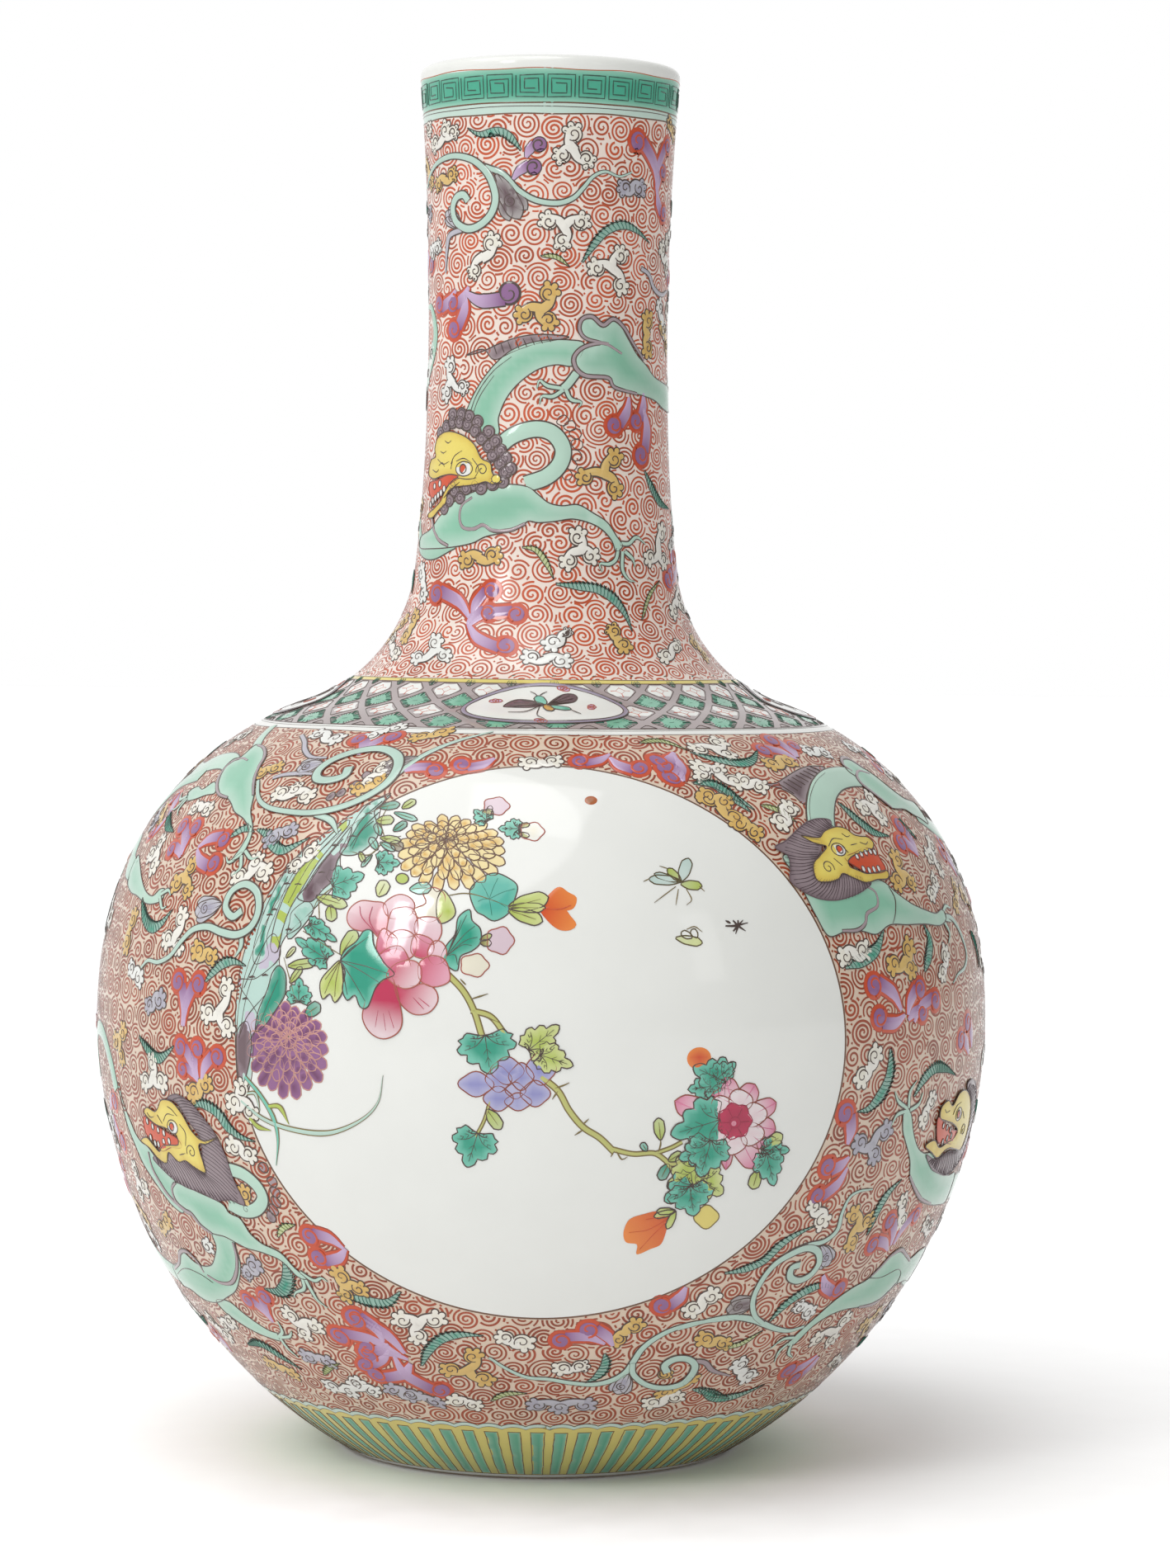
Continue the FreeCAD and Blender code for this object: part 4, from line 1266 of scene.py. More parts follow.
def insects(art):
    """A dragonfly, a bee and a small dark fly, in the open part on the right."""
    chart = PANEL_CHART
    wing = paint(200, 222, 214)
    for base, tip, width, tint in (((50, 61), (38, 62), 3.6, wing), ((49, 61), (40, 64), 2.6, wing),
                                   ((50, 61), (53, 70), 4.4, wing), ((50, 61), (45, 66), 2.8, LEAF_GREEN),
                                   ((50, 60), (58, 59), 3.4, LEAF_GREEN),
                                   ((48, 40), (58, 38), 3.2, LEAF_PALE),
                                   ((54, 40), (50, 42), 2.6, WHITE), ((56, 40), (54, 43), 2.4, WHITE)):
        art.petal(chart, base, tip, width, tint, mix(tint, WHITE, 0.3), OLIVE * 0.5, level=1)
    for path in ([(48, 59), (44, 56), (40, 53)], [(49, 58), (48, 52)], [(52, 58), (54, 54), (52, 52)],
                 [(57, 59), (59, 57)], [(45, 66), (42, 67)], [(38, 62), (36, 61)],
                 [(52, 43), (55, 44), (58, 42)]):
        art.line(chart, path, 0.5, OLIVE, level=1)
    for path in ([(67, 44), (71, 44), (76, 45)], [(70, 46), (72, 44), (75, 42)],
                 [(70, 42), (72, 44), (74, 46)],
                 [(72, 46), (72, 44), (71, 41)], [(69, 45), (67, 46)]):
        art.line(chart, path, 1.0, DARK * 0.8, level=1)
    art.disc(chart, (17, 95), (2.3, 2.0), RUST, OLIVE, line=None, level=1)


def grasses(art):
    """Long curling blades at the foot of the rock, and specks that the kiln left in the glaze."""
    chart = PANEL_CHART
    for path, width, tint in (
        ([(-117, -23), (-106, -29), (-92, -32), (-78, -32), (-66, -27), (-59, -20), (-57, -10)], 1.7,
         TURQUOISE),
        ([(-115, -14), (-108, -20), (-102, -28), (-100, -36), (-101, -46)], 1.6, TEAL_PALE),
        ([(-114, -20), (-110, -20), (-108, -26)], 1.2, TURQUOISE),
        ([(-104, -24), (-99, -24), (-95, -30)], 1.6, LEAF_GREEN),
        ([(-113, -29), (-109, -32), (-103, -33)], 1.6, LEAF_GREEN),
    ):
        art.limb(chart, path, width, tint, OLIVE, rim=0.35, level=3, taper=(0.7, 0.1))
    for x, y, size in ((85, 52, 0.8), (98, 48, 0.9), (95, 4, 0.8), (22, -8, 1.0), (-52, -6, 0.7),
                       (-20, 28, 0.6),
                       (103, 12, 0.9), (30, 5, 0.7), (-60, -60, 0.6), (12, -80, 0.7)):
        art.disc(chart, (x, y), (size, size * 0.6), paint(228, 216, 192), paint(206, 186, 152), line=None)


flowers = Painting("panel_flowers", "white_reserve_glaze")
rock(flowers)
chrysanthemum(flowers, (-35, 77), (-33, 72), (20.5, 15.5), 5, GOLD_PALE, GOLD, BROWN, level=1, petals=21,
              width=4.0)
chrysanthemum(flowers, (-95, 2), (-96, -3), (18.5, 17.5), 5, paint(150, 98, 146), paint(112, 56, 98),
              paint(206, 150, 140), level=1, petals=19, width=4.6)
top_leaves(flowers)
buds(flowers)
peony(flowers)
blue_branch(flowers)
right_spray(flowers)
insects(flowers)
grasses(flowers)
flowers.finish()


# ---------------------------------------------------------------- clouds, scrolls of fungus, leaves

MAUVE_BODY = paint(170, 154, 158)
MAUVE_DARK = paint(104, 82, 88)
HAIR = paint(134, 116, 122)
HEAD_YELLOW = paint(240, 220, 108)
HEAD_OCHRE = paint(226, 196, 86)
BEAST = paint(190, 222, 204)
BEAST_DEEP = paint(142, 200, 172)
MOUTH = paint(220, 84, 44)
CLOUD_TINTS = {"cream": (CREAM, paint(246, 243, 234)), "white": (paint(236, 236, 230), WHITE),
               "ochre": (OCHRE, OCHRE_PALE), "slate": (SLATE, SLATE_PALE)}


def blob(art, chart, centre, radius, colour, line=DARK, rim=0.55, level=2):
    """A round spot over a slightly larger dark one. It joins limbs of the same level without a seam."""
    t = np.arange(18) * TURN / 18
    circle = np.stack([np.cos(t), np.sin(t)], 1)
    fill(art.lines, chart, circle * (radius + rim) + centre, line, line, lift=0.08, level=level, step=2.0)
    fill(art.fills, chart, circle * radius + centre, colour, colour, lift=0.12, level=level + 1, step=2.0)


def cloud(art, chart, kind, lobes, level=2):
    """A small cloud of curled lobes, each given as its centre and radius, joined through its middle."""
    rim, core = CLOUD_TINTS[kind]
    middle = np.mean([lobe[:2] for lobe in lobes], axis=0)
    for number, (x, y, radius) in enumerate(lobes):
        centre = np.array([x, y], float)
        away = centre - middle
        length = max(np.hypot(*away), 0.1)
        hand = 1 if (number + int(abs(x))) % 2 else -1
        if length > radius * 0.5:
            side = np.array([-away[1], away[0]]) / length * radius * 0.55 * hand
            art.limb(chart, [middle - away * 0.1, middle + away * 0.45 + side, centre + side * 0.9],
                     radius * 1.05,
                     core, level=level, rim=0.55, taper=(1.1, 0.8))
        blob(art, chart, centre, radius * 0.9, mix(rim, core, 0.5), level=level)
        start = math.degrees(math.atan2(-away[1], -away[0])) - 40 * hand
        art.curl(chart, centre, radius * 0.78, 1.1, start, hand, width=0.65, level=level + 2)
        for spread in (-35, 15, 60):
            angle = math.atan2(away[1], away[0]) + math.radians(spread) * hand
            spot = centre + np.array([math.cos(angle), math.sin(angle)]) * radius * 1.05
            blob(art, chart, spot, radius * 0.32, mix(rim, core, 0.7), level=level, rim=0.5)


def comma(art, chart, head, tail, radius, level=0, contour=True):
    """One curled lobe of a fungus scroll: lilac, deep purple in its curl, with a thick red contour."""
    head, tail = np.array(head, float), np.array(tail, float)
    run = head - tail
    length = max(np.hypot(*run), 0.1)
    hand = 1 if run[0] * (1 if run[1] > 0 else -1) < 0 else -1
    side = np.array([-run[1], run[0]]) / length * hand
    path = [tail, tail + run * 0.4 - side * length * 0.16,
            head - side * radius * 0.42 - run / length * radius * 0.3]
    width = radius * 0.95
    edge, red, dark = (1.3, CONTOUR_RED, CONTOUR_DARK) if contour else (0.2, DARK, DARK)
    stroke(art.fills, chart, path, width + 2 * edge + 0.8, dark, lift=0.08, level=level, taper=(0.4, 1.0),
           step=1.0)
    blob(art, chart, head, radius * 0.8 + edge, red, line=dark, rim=0.4, level=level)
    stroke(art.fills, chart, path, width + 2 * edge, red, lift=0.1, level=level + 1, taper=(0.35, 1.0),
           step=1.0)
    stroke(art.fills, chart, path, width, LILAC, tip=PURPLE, lift=0.12, level=level + 3, taper=(0.3, 1.0),
           step=1.0)
    blob(art, chart, head, radius * 0.72, mix(PURPLE, LILAC, 0.15), line=PURPLE, rim=0.05, level=level + 3)
    start = math.degrees(math.atan2(*(side * 1.2 - run / length)[::-1]))
    art.curl(chart, head, radius * 0.8, 0.95, start, hand, width=1.0 if contour else 0.7,
             colour=red if contour else DARK, level=level + 5)


def fungus(art, chart, lobes, level=0, contour=True):
    """A scroll of fungus: several curled lobes, each given as head, tail and radius."""
    for head, tail, radius in lobes:
        comma(art, chart, head, tail, radius, level, contour)


def feather(art, chart, path, width, tint=TEAL):
    """A narrow leaf along a curved spine, toothed on one side and hatched with dark lines."""
    spine = smooth_path(path, 1.5)
    heading = np.gradient(spine, axis=0)
    heading /= np.hypot(heading[:, 0], heading[:, 1])[:, None]
    side = np.stack([-heading[:, 1], heading[:, 0]], 1)
    share = np.linspace(0, 1, len(spine))
    half = width * np.interp(share, [0, 0.25, 0.6, 1], [0.15, 0.65, 0.75, 0.05])
    smooth = spine - side * half[:, None] * 0.45
    tooth = spine + side * half[:, None] * 0.85 - heading * half[:, None] * 0.5
    notch = spine + side * half[:, None] * 0.5
    toothed = np.stack([notch, tooth], 1).reshape(-1, 2)
    outline = np.concatenate([smooth, toothed[::-1]])
    art.shape(chart, outline, mix(tint, WHITE, 0.35), tint, sharp=True, level=2, bleed=1.6, width=0.4)
    for i in range(1, len(spine) - 1):
        art.line(chart, [smooth[i] + heading[i] * 0.4, spine[i], tooth[i]], 0.36, tint * 0.45, level=3)


def tendril(art, chart, path, width, tint=TURQUOISE, level=2, taper=(0.8, 0.5)):
    """A long pale stem."""
    art.limb(chart, path, width, tint, level=level, rim=0.45, taper=taper)


def bud(art, chart, base, tip, width, tint):
    """A mauve bud with a coiled line in it, which grows from a tendril."""
    base, tip = np.array(base, float), np.array(tip, float)
    along = tip - base
    side = np.array([-along[1], along[0]]) / np.hypot(*along)
    pale = mix(tint, WHITE, 0.4)
    for shift in (-0.45, 0.45):
        outer = base + along * 0.92 + side * shift * width
        art.petal(chart, base, outer, width * 0.62, pale, tint, level=2, bleed=2.0)
    art.petal(chart, base, tip, width * 0.8, pale, tint, level=3, bleed=2.5)
    art.curl(chart, base + along * 0.6, width * 0.3, 1.6, 90, 1, level=4)


def fins(art, chart, path, size, level=2):
    """A row of scalloped mauve fins along a path, each leaning the way the path runs."""
    spots = smooth_path(path, size * 0.8)
    heading = np.gradient(spots, axis=0)
    heading /= np.hypot(heading[:, 0], heading[:, 1])[:, None]
    out = np.stack([-heading[:, 1], heading[:, 0]], 1)
    for spot, ahead, away in zip(spots, heading, out):
        art.petal(chart, spot - away * 0.6, spot + away * size * 0.8 + ahead * size * 0.7, size * 0.95,
                  MAUVE_BODY, MAUVE_DARK, level=level, bleed=1.4)


def streaks(art, chart, starts, ends, count, colour=MAUVE_DARK, level=5, width=0.4):
    """Hair: lines that run between two curves."""
    first, last = smooth_path(starts, 0.5), smooth_path(ends, 0.5)
    for share in np.linspace(0, 1, count):
        a = first[int(share * (len(first) - 1))]
        b = last[int(share * (len(last) - 1))]
        bend = np.array([-(b - a)[1], (b - a)[0]]) * 0.06
        art.line(chart, [a, (a + b) / 2 + bend, b], width, colour, level=level)


def beast(art, chart, outline, level=2, bleed=6.0):
    """A haunch, belly or tail of a dragon, pale at its rim and deeper in its middle."""
    art.shape(chart, outline, BEAST, BEAST_DEEP, level=level, bleed=bleed)


def claws(art, chart, paths):
    """The talons of one paw, each drawn out to a point."""
    for path in paths:
        art.limb(chart, path, 1.5, BEAST, level=3, taper=(1.0, 0.25), rim=0.42)


def hem(art, chart, path, level=4):
    """The mauve border of a haunch, with a dark line on each side."""
    art.limb(chart, path, 1.5, MAUVE_BODY, level=level, rim=0.4, taper=(0.6, 0.6))


def hair(art, chart, outline, roots, tips, count, level=7):
    """A combed mane: a mauve patch with dark strands that run from its roots to its tips."""
    art.shape(chart, outline, HAIR, mix(HAIR, MAUVE_BODY, 0.5), level=level, line=MAUVE_DARK)
    streaks(art, chart, roots, tips, count, colour=MAUVE_DARK * 0.6, level=level + 1, width=0.55)


def face(art, chart, level, mouth, head, teeth, eye, pupil, nostril, marks):
    """A dragon's face: red mouth, yellow head, teeth, eye with its pupil, coiled jowl and dark lines."""
    art.shape(chart, mouth, MOUTH, ORANGE_DEEP, line=CONTOUR_DARK, level=level)
    art.shape(chart, head, HEAD_OCHRE, HEAD_YELLOW, level=level + 1)
    for spot in teeth:
        art.disc(chart, spot, (0.9, 1.3), WHITE, WHITE, level=level + 2, width=0.3, step=1.0)
    art.disc(chart, *eye, WHITE, WHITE, level=level + 3)
    art.disc(chart, *pupil, MOUTH, ORANGE_DEEP, level=level + 4, width=0.6)
    centre, radius, start, hand = nostril
    art.curl(chart, centre, radius, 1.3, start, hand, level=level + 3)
    for path in marks:
        art.line(chart, path, 0.5, level=level + 3)


def scatter(art, chart, clouds=(), leaves=(), sprigs=(), scrolls=()):
    """Clouds by their kind, leaves with their widths, narrow green sprigs and fungus scrolls on one sheet."""
    for kind, groups in dict(clouds).items():
        for lobes in groups:
            cloud(art, chart, kind, lobes)
    for path, width in leaves:
        feather(art, chart, path, width)
    for path in sprigs:
        feather(art, chart, path, 3.2, tint=LEAF_GREEN)
    for lobes in scrolls:
        fungus(art, chart, lobes)


# ---------------------------------------------------------------- the neck

NECK_LOW = Chart(0, 320)
NECK_HIGH = Chart(0, 420)


def neck_dragon_body(art):
    """The turquoise body: an arch, a haunch to the right, a loop and the belly below the head."""
    high, low = NECK_HIGH, NECK_LOW
    art.shape(high, [(-21, 2), (-26, 6), (-34, 4), (-27, 5), (-19, 8), (-11, 10.5), (-2, 11.5), (8, 10.5),
                     (-4, 8), (-13, 5)], MAUVE_BODY, MAUVE_DARK, level=1)
    for x in range(-20, 4, 3):
        art.line(high, [(x, 4 + (x + 20) * 0.22), (x - 1.5, 8 + (x + 20) * 0.16)], 0.45, level=3)
    art.shape(high, [(-36, -24), (-33, -16), (-28, -8), (-21, 0), (-13, 6), (-3, 9), (8, 9.5), (14, 8),
                     (10, 0),
                     (3, 0), (-4, -2), (-11, -7), (-16, -13), (-19, -20), (-20, -27)], BEAST, BEAST_DEEP,
              level=2, bleed=5.0)
    art.line(high, [(-33, -22), (-29, -12), (-22, -3), (-14, 3)], 0.4, level=4)
    art.line(high, [(-31.5, -22), (-27.5, -12.5), (-21, -4)], 0.4, level=4)
    art.shape(high, [(15, 9.5), (12.5, 13), (13, 17), (17, 18), (21, 15), (25, 17.5), (29, 16), (33, 11),
                     (38, 5),
                     (44, 1), (50, -3), (60, -5), (74, -7), (74, -15), (60, -15), (50, -12), (38, -10),
                     (30, -9),
                     (26, -7), (24, -4.5), (15, -4), (11, -1), (10.5, 3), (14, 7), (20, 8.5)],
              BEAST, BEAST_DEEP * 0.95, level=4, bleed=7.0)
    hem(art, high, [(24, 8.5), (15, 10), (12, 13.5), (13, 17.5), (17, 18.5), (21.5, 15.5), (26, 18),
                    (31, 15),
                    (36, 9), (42, 3)], level=5)
    hem(art, high, [(30, 5), (22, 8.5), (14, 7), (10, 3), (11, -1.5), (15, -4), (24, -4.5), (27, -8),
                    (38, -10)],
        level=5)
    art.limb(high, [(11, -3), (8, -7), (6, -9)], 3.0, BEAST, level=3)
    claws(art, high, [[(6, -9), (0, -8), (-3, -6), (-4, -9)], [(6, -9.5), (2, -12), (-2, -12), (-3, -15)],
                      [(7, -9.5), (9, -13), (13, -14), (12, -16)]])
    art.limb(low, [(-22, 67), (-14, 74), (-5, 77), (2, 75.5), (6, 70), (5, 64), (0, 59), (-8, 56)], 6.0,
             BEAST,
             level=2)
    fins(art, low, [(4, 80), (9, 76), (10, 69), (7, 62)], 4.0, level=0)
    art.shape(low, [(-66, 36), (-55, 39), (-48, 44), (-38, 50), (-30, 53), (-22, 55), (-14, 56), (-7, 55),
                    (-3, 52),
                    (1, 49), (6, 48), (12, 48.5), (18, 45.5), (24, 42), (28, 37), (31, 33), (28, 31),
                    (26, 35),
                    (22, 39), (17, 41.5), (10, 43), (3, 42), (-3, 41.5), (-7, 42), (-10, 39.5), (-17, 37.5),
                    (-24, 36), (-30, 33.5), (-40, 32), (-52, 31.5), (-66, 32)], BEAST, BEAST_DEEP, level=4,
                    bleed=6.0)
    hem(art, low, [(-30, 51), (-35, 48), (-36, 43), (-34, 39.5), (-29, 39), (-25, 40.5), (-21, 38.5),
                   (-14, 38.5),
                   (-8, 41)], level=5)
    hem(art, low, [(-54, 44), (-52, 39), (-48, 35), (-42, 32.5)], level=5)
    claws(art, low, [[(30, 34), (34, 34), (38, 36.5), (43, 34)],
                     [(29, 32), (28, 28), (25, 26), (21, 26), (22, 23)],
                     [(31, 31), (31, 24), (34, 20), (37, 19.5)], [(32, 31), (36, 28), (37, 25)]])


def neck_dragon_head(art):
    """The yellow head, with its red mouth and a mane of small curls."""
    low = NECK_LOW
    for x, y in ((-49, 76), (-45, 78.5), (-41, 80), (-37, 80), (-33, 79), (-32, 82), (-36, 83), (-41, 83),
                 (-29, 76.5), (-26, 73.5), (-28, 80), (-23, 76), (-23, 70.5), (-20, 72.5), (-21, 67),
                 (-18, 69),
                 (-18, 64), (-16, 66), (-16, 60.5), (-14, 62), (-17, 57), (-21, 56), (-26, 54.5), (-29, 56),
                 (-33, 54.5), (-36, 51), (-39, 53.5), (-42, 50), (-45, 47), (-40, 56)):
        art.disc(low, (x, y), (2.5, 2.4), HAIR, MAUVE_BODY, level=6, width=0.6, step=1.5)
        art.curl(low, (x, y), 1.9, 1.4, x * 40, 1, width=0.6, colour=MAUVE_DARK * 0.7, level=7)
    face(
        art, low, 8,
        mouth=[(-57, 57), (-57, 53), (-54, 51), (-49, 51), (-46, 54), (-40, 57), (-36, 59), (-42, 60),
               (-50, 58)],
        head=[(-17, 57), (-21, 60), (-22, 64), (-26, 66), (-29, 71), (-33, 74), (-37, 75.5), (-42, 76.5),
              (-47, 76), (-51, 74), (-53, 70), (-52, 67), (-56, 66), (-58, 63), (-58, 60), (-53, 58.5),
              (-47, 59.5), (-41, 60), (-37, 59), (-41, 57), (-45, 53), (-47, 50), (-52, 47), (-57, 45),
              (-57, 43.5), (-53, 43.5), (-49, 46), (-44, 49), (-43, 53), (-39, 55), (-33, 55.5), (-28, 56),
              (-24, 57), (-21, 56)],
        teeth=((-53, 50), (-51, 51), (-49, 52), (-55, 48.5), (-47, 53), (-45, 54.5), (-52, 55.5),
               (-48, 56.5)),
        eye=((-34, 62), (4.2, 2.8)),
        pupil=((-34.4, 62), (1.6, 1.7)),
        nostril=((-25.5, 61.5), 2.8, 200, -1),
        marks=([(-41, 64), (-39, 67), (-35, 69)], [(-40, 66), (-41, 62)], [(-30, 66), (-27, 62), (-29, 58)],
               [(-48, 69), (-46, 68.2), (-44, 69)], [(-50, 66), (-46, 64), (-42, 65)],
               [(-49, 63.5), (-46.5, 64.6), (-45, 63)], [(-45, 73), (-43, 72), (-41, 73)],
               [(-54, 62), (-51, 61), (-49, 62)], [(-37, 58.5), (-32, 58), (-28, 58.5)],
               [(-45, 51), (-41, 54), (-36, 57)], [(-38, 65), (-34, 66), (-30, 64)]),
    )
    art.disc(low, (-19.5, 58), (1.8, 1.6), HEAD_YELLOW, HEAD_YELLOW, level=11, width=0.4, step=1.0)


def neck_upper(art):
    """Tendrils, leaves, clouds and fungus scrolls on the upper neck."""
    high = NECK_HIGH
    tendril(art, high, [(-66, 70), (-60, 75), (-52, 78.5), (-42, 80), (-33, 78.5), (-27, 75), (-23, 70),
                        (-21, 63),
                        (-23, 57), (-28, 53), (-34, 52), (-40, 55), (-42, 60), (-40, 64), (-36, 65),
                        (-33.5, 62.5)],
            2.8, taper=(0.5, 1.0), level=4)
    tendril(art, high, [(-27, 75.5), (-18, 72), (-12, 66), (-5, 62), (3, 61), (9, 63), (13, 67), (17, 71.5),
                        (22, 73.5), (28, 72), (34, 74)], 2.0, taper=(1.0, 0.3))
    tendril(art, high, [(-47, 36), (-46, 45), (-44, 50), (-36, 52)], 2.0, tint=SLATE_PALE, taper=(0.4, 1.0))
    bud(art, high, (-21, 72), (-11, 55), 9.0, MAUVE_DARK)
    bud(art, high, (-37, 53), (-47, 59), 6.0, SLATE)
    feather(art, high, [(-11, 81), (-15, 86), (-20, 88.5), (-28, 87.5), (-34, 90)], 3.8)
    feather(art, high, [(13, 39), (18, 46), (23, 51), (30, 53.5), (37, 52), (45, 48)], 4.0)
    feather(art, high, [(-3, 41), (3, 40.5), (8, 37)], 2.2, tint=LEAF_GREEN)
    fungus(art, high, [((-4, 83), (-9, 78), 3.6), ((-6, 74.5), (-14, 70), 3.8)], contour=False)
    fungus(art, high, [((37, 86), (50, 69), 5.0), ((54, 76), (50, 66), 4.0), ((58, 86), (50, 70), 4.0),
                       ((56, 60), (50, 68), 4.2)])
    fungus(art, high, [((-15, 27), (-35, 28), 5.2)], contour=False, level=2)
    fungus(art, high, [((-52, 24), (-40, 29), 4.6), ((-42, 24), (-33, 30), 4.6),
                       ((-41, 14), (-35, 28), 4.6)])
    scatter(art, high, clouds={
        "cream": (((-55, 86, 3.2), (-47, 90, 3.2), (-42, 89, 2.6)),
                  ((9, 87, 3.4), (5, 79, 3.0), (14, 78, 3.0)), ((0, 54, 3.2), (12, 54, 3.2), (5, 47, 3.0)),
                  ((-30, 36, 2.8), (-23, 46, 3.4)), ((29, 42, 3.2), (19, 37, 3.2), (29, 31, 3.2)),
                  ((57, 46, 3.2), (62, 40, 3.0)), ((-62, 92, 3.0),), ((70, 30, 3.0), (66, 24, 3.0))),
        "ochre": (((-52, 70, 2.8), (-43, 73, 2.8)), ((0, 27, 3.4), (-9, 19, 3.2), (0, 17, 3.2)),
                  ((45, 18, 3.4), (45, 8, 3.2)), ((58, 16, 3.0), (64, 10, 3.0)),
                  ((66, 92, 3.0), (60, 95, 2.6))),
        "white": (((-43, 0, 3.0), (-45, -10, 3.0), (-36, -8, 2.6)), ((-60, 44, 3.4), (-54, 46, 2.8)),
                  ((-60, 6, 3.0), (-66, -2, 3.0))),
        "slate": (((31, 68, 3.0), (38, 68, 3.2)), ((-64, 60, 3.0),)),
    })
    tendril(art, high, [(40, 38), (45, 36), (49, 31), (56, 29), (64, 31)], 1.8, tint=SLATE_PALE)


def neck_lower(art):
    """Leaves, clouds and fungus scrolls round the root of the neck."""
    low = NECK_LOW
    fungus(art, low, [((-15, -8), (-31, 2), 4.8), ((-11, 6), (-30, 1), 4.2), ((-22, 6.5), (-31, 2), 4.2),
                      ((-21, 15.5), (-29, 4), 4.2), ((-48, 14), (-30, 4), 5.0)])
    fungus(art, low, [((27, 79), (34, 90), 4.4), ((38, 81), (42, 92), 4.2), ((41, 68), (42, 86), 5.0)])
    feather(art, low, [(-9, 32), (-4, 31), (0, 26), (3, 20)], 2.8, tint=LEAF_GREEN)
    feather(art, low, [(4, 18), (12, 17), (20, 16), (27, 12), (32, 6), (35, -1)], 4.4)
    feather(art, low, [(43, 62), (47, 56), (54, 50), (64, 48)], 4.0)
    feather(art, low, [(40, 4), (45, 14), (52, 20)], 2.2, tint=LEAF_GREEN)
    scatter(art, low, clouds={
        "ochre": (((-32, 27, 3.2), (-21, 29, 3.2)), ((27, 66, 3.4), (15, 59, 3.0), (27, 55, 3.2)),
                  ((27, -1, 2.8), (31, -7, 3.2)), ((-62, 4, 3.0), (-66, -4, 3.0)),
                  ((74, -6, 3.0), (80, -12, 3.0)), ((-74, 40, 3.0), (-70, 48, 3.0))),
        "cream": (((12, 36, 3.2), (9, 27, 3.0), (17, 29, 3.0)),
                  ((55, 38, 3.4), (46, 29, 3.0), (56, 28, 3.0)), ((51, -12, 3.2), (58, -8, 2.8)),
                  ((62, 8, 3.2), (70, 14, 3.0)), ((-70, -12, 3.0), (-78, -6, 3.0))),
        "white": (((3, -6, 3.4), (8, -2, 1.8)), ((-46, -7, 3.4), (-54, -14, 3.2), (-41, -13, 3.0)),
                  ((-5, -13, 3.2), (6, -15, 3.4)), ((-62, 22, 3.4), (-58, 14, 3.0)),
                  ((72, 40, 3.2), (66, 34, 3.0))),
    })
    fungus(art, low, [((62, 22), (74, 26), 4.2), ((70, 30), (76, 22), 4.0)])


neck = Painting("neck_figures", "turquoise_enamel")
neck_dragon_body(neck)
neck_dragon_head(neck)
neck_upper(neck)
neck_lower(neck)
neck.finish()


# ---------------------------------------------------------------- the four dragons of the body

LEFT_LOW = Chart(-45, 110)
LEFT_HIGH = Chart(-45, 230)
RIGHT_HIGH = Chart(45, 230)
RIGHT_LOW = Chart(45, 110)
BOTTOM = Chart(0, 60)
SIDE_HIGH = Chart(90, 230)
SIDE_LOW = Chart(90, 110)


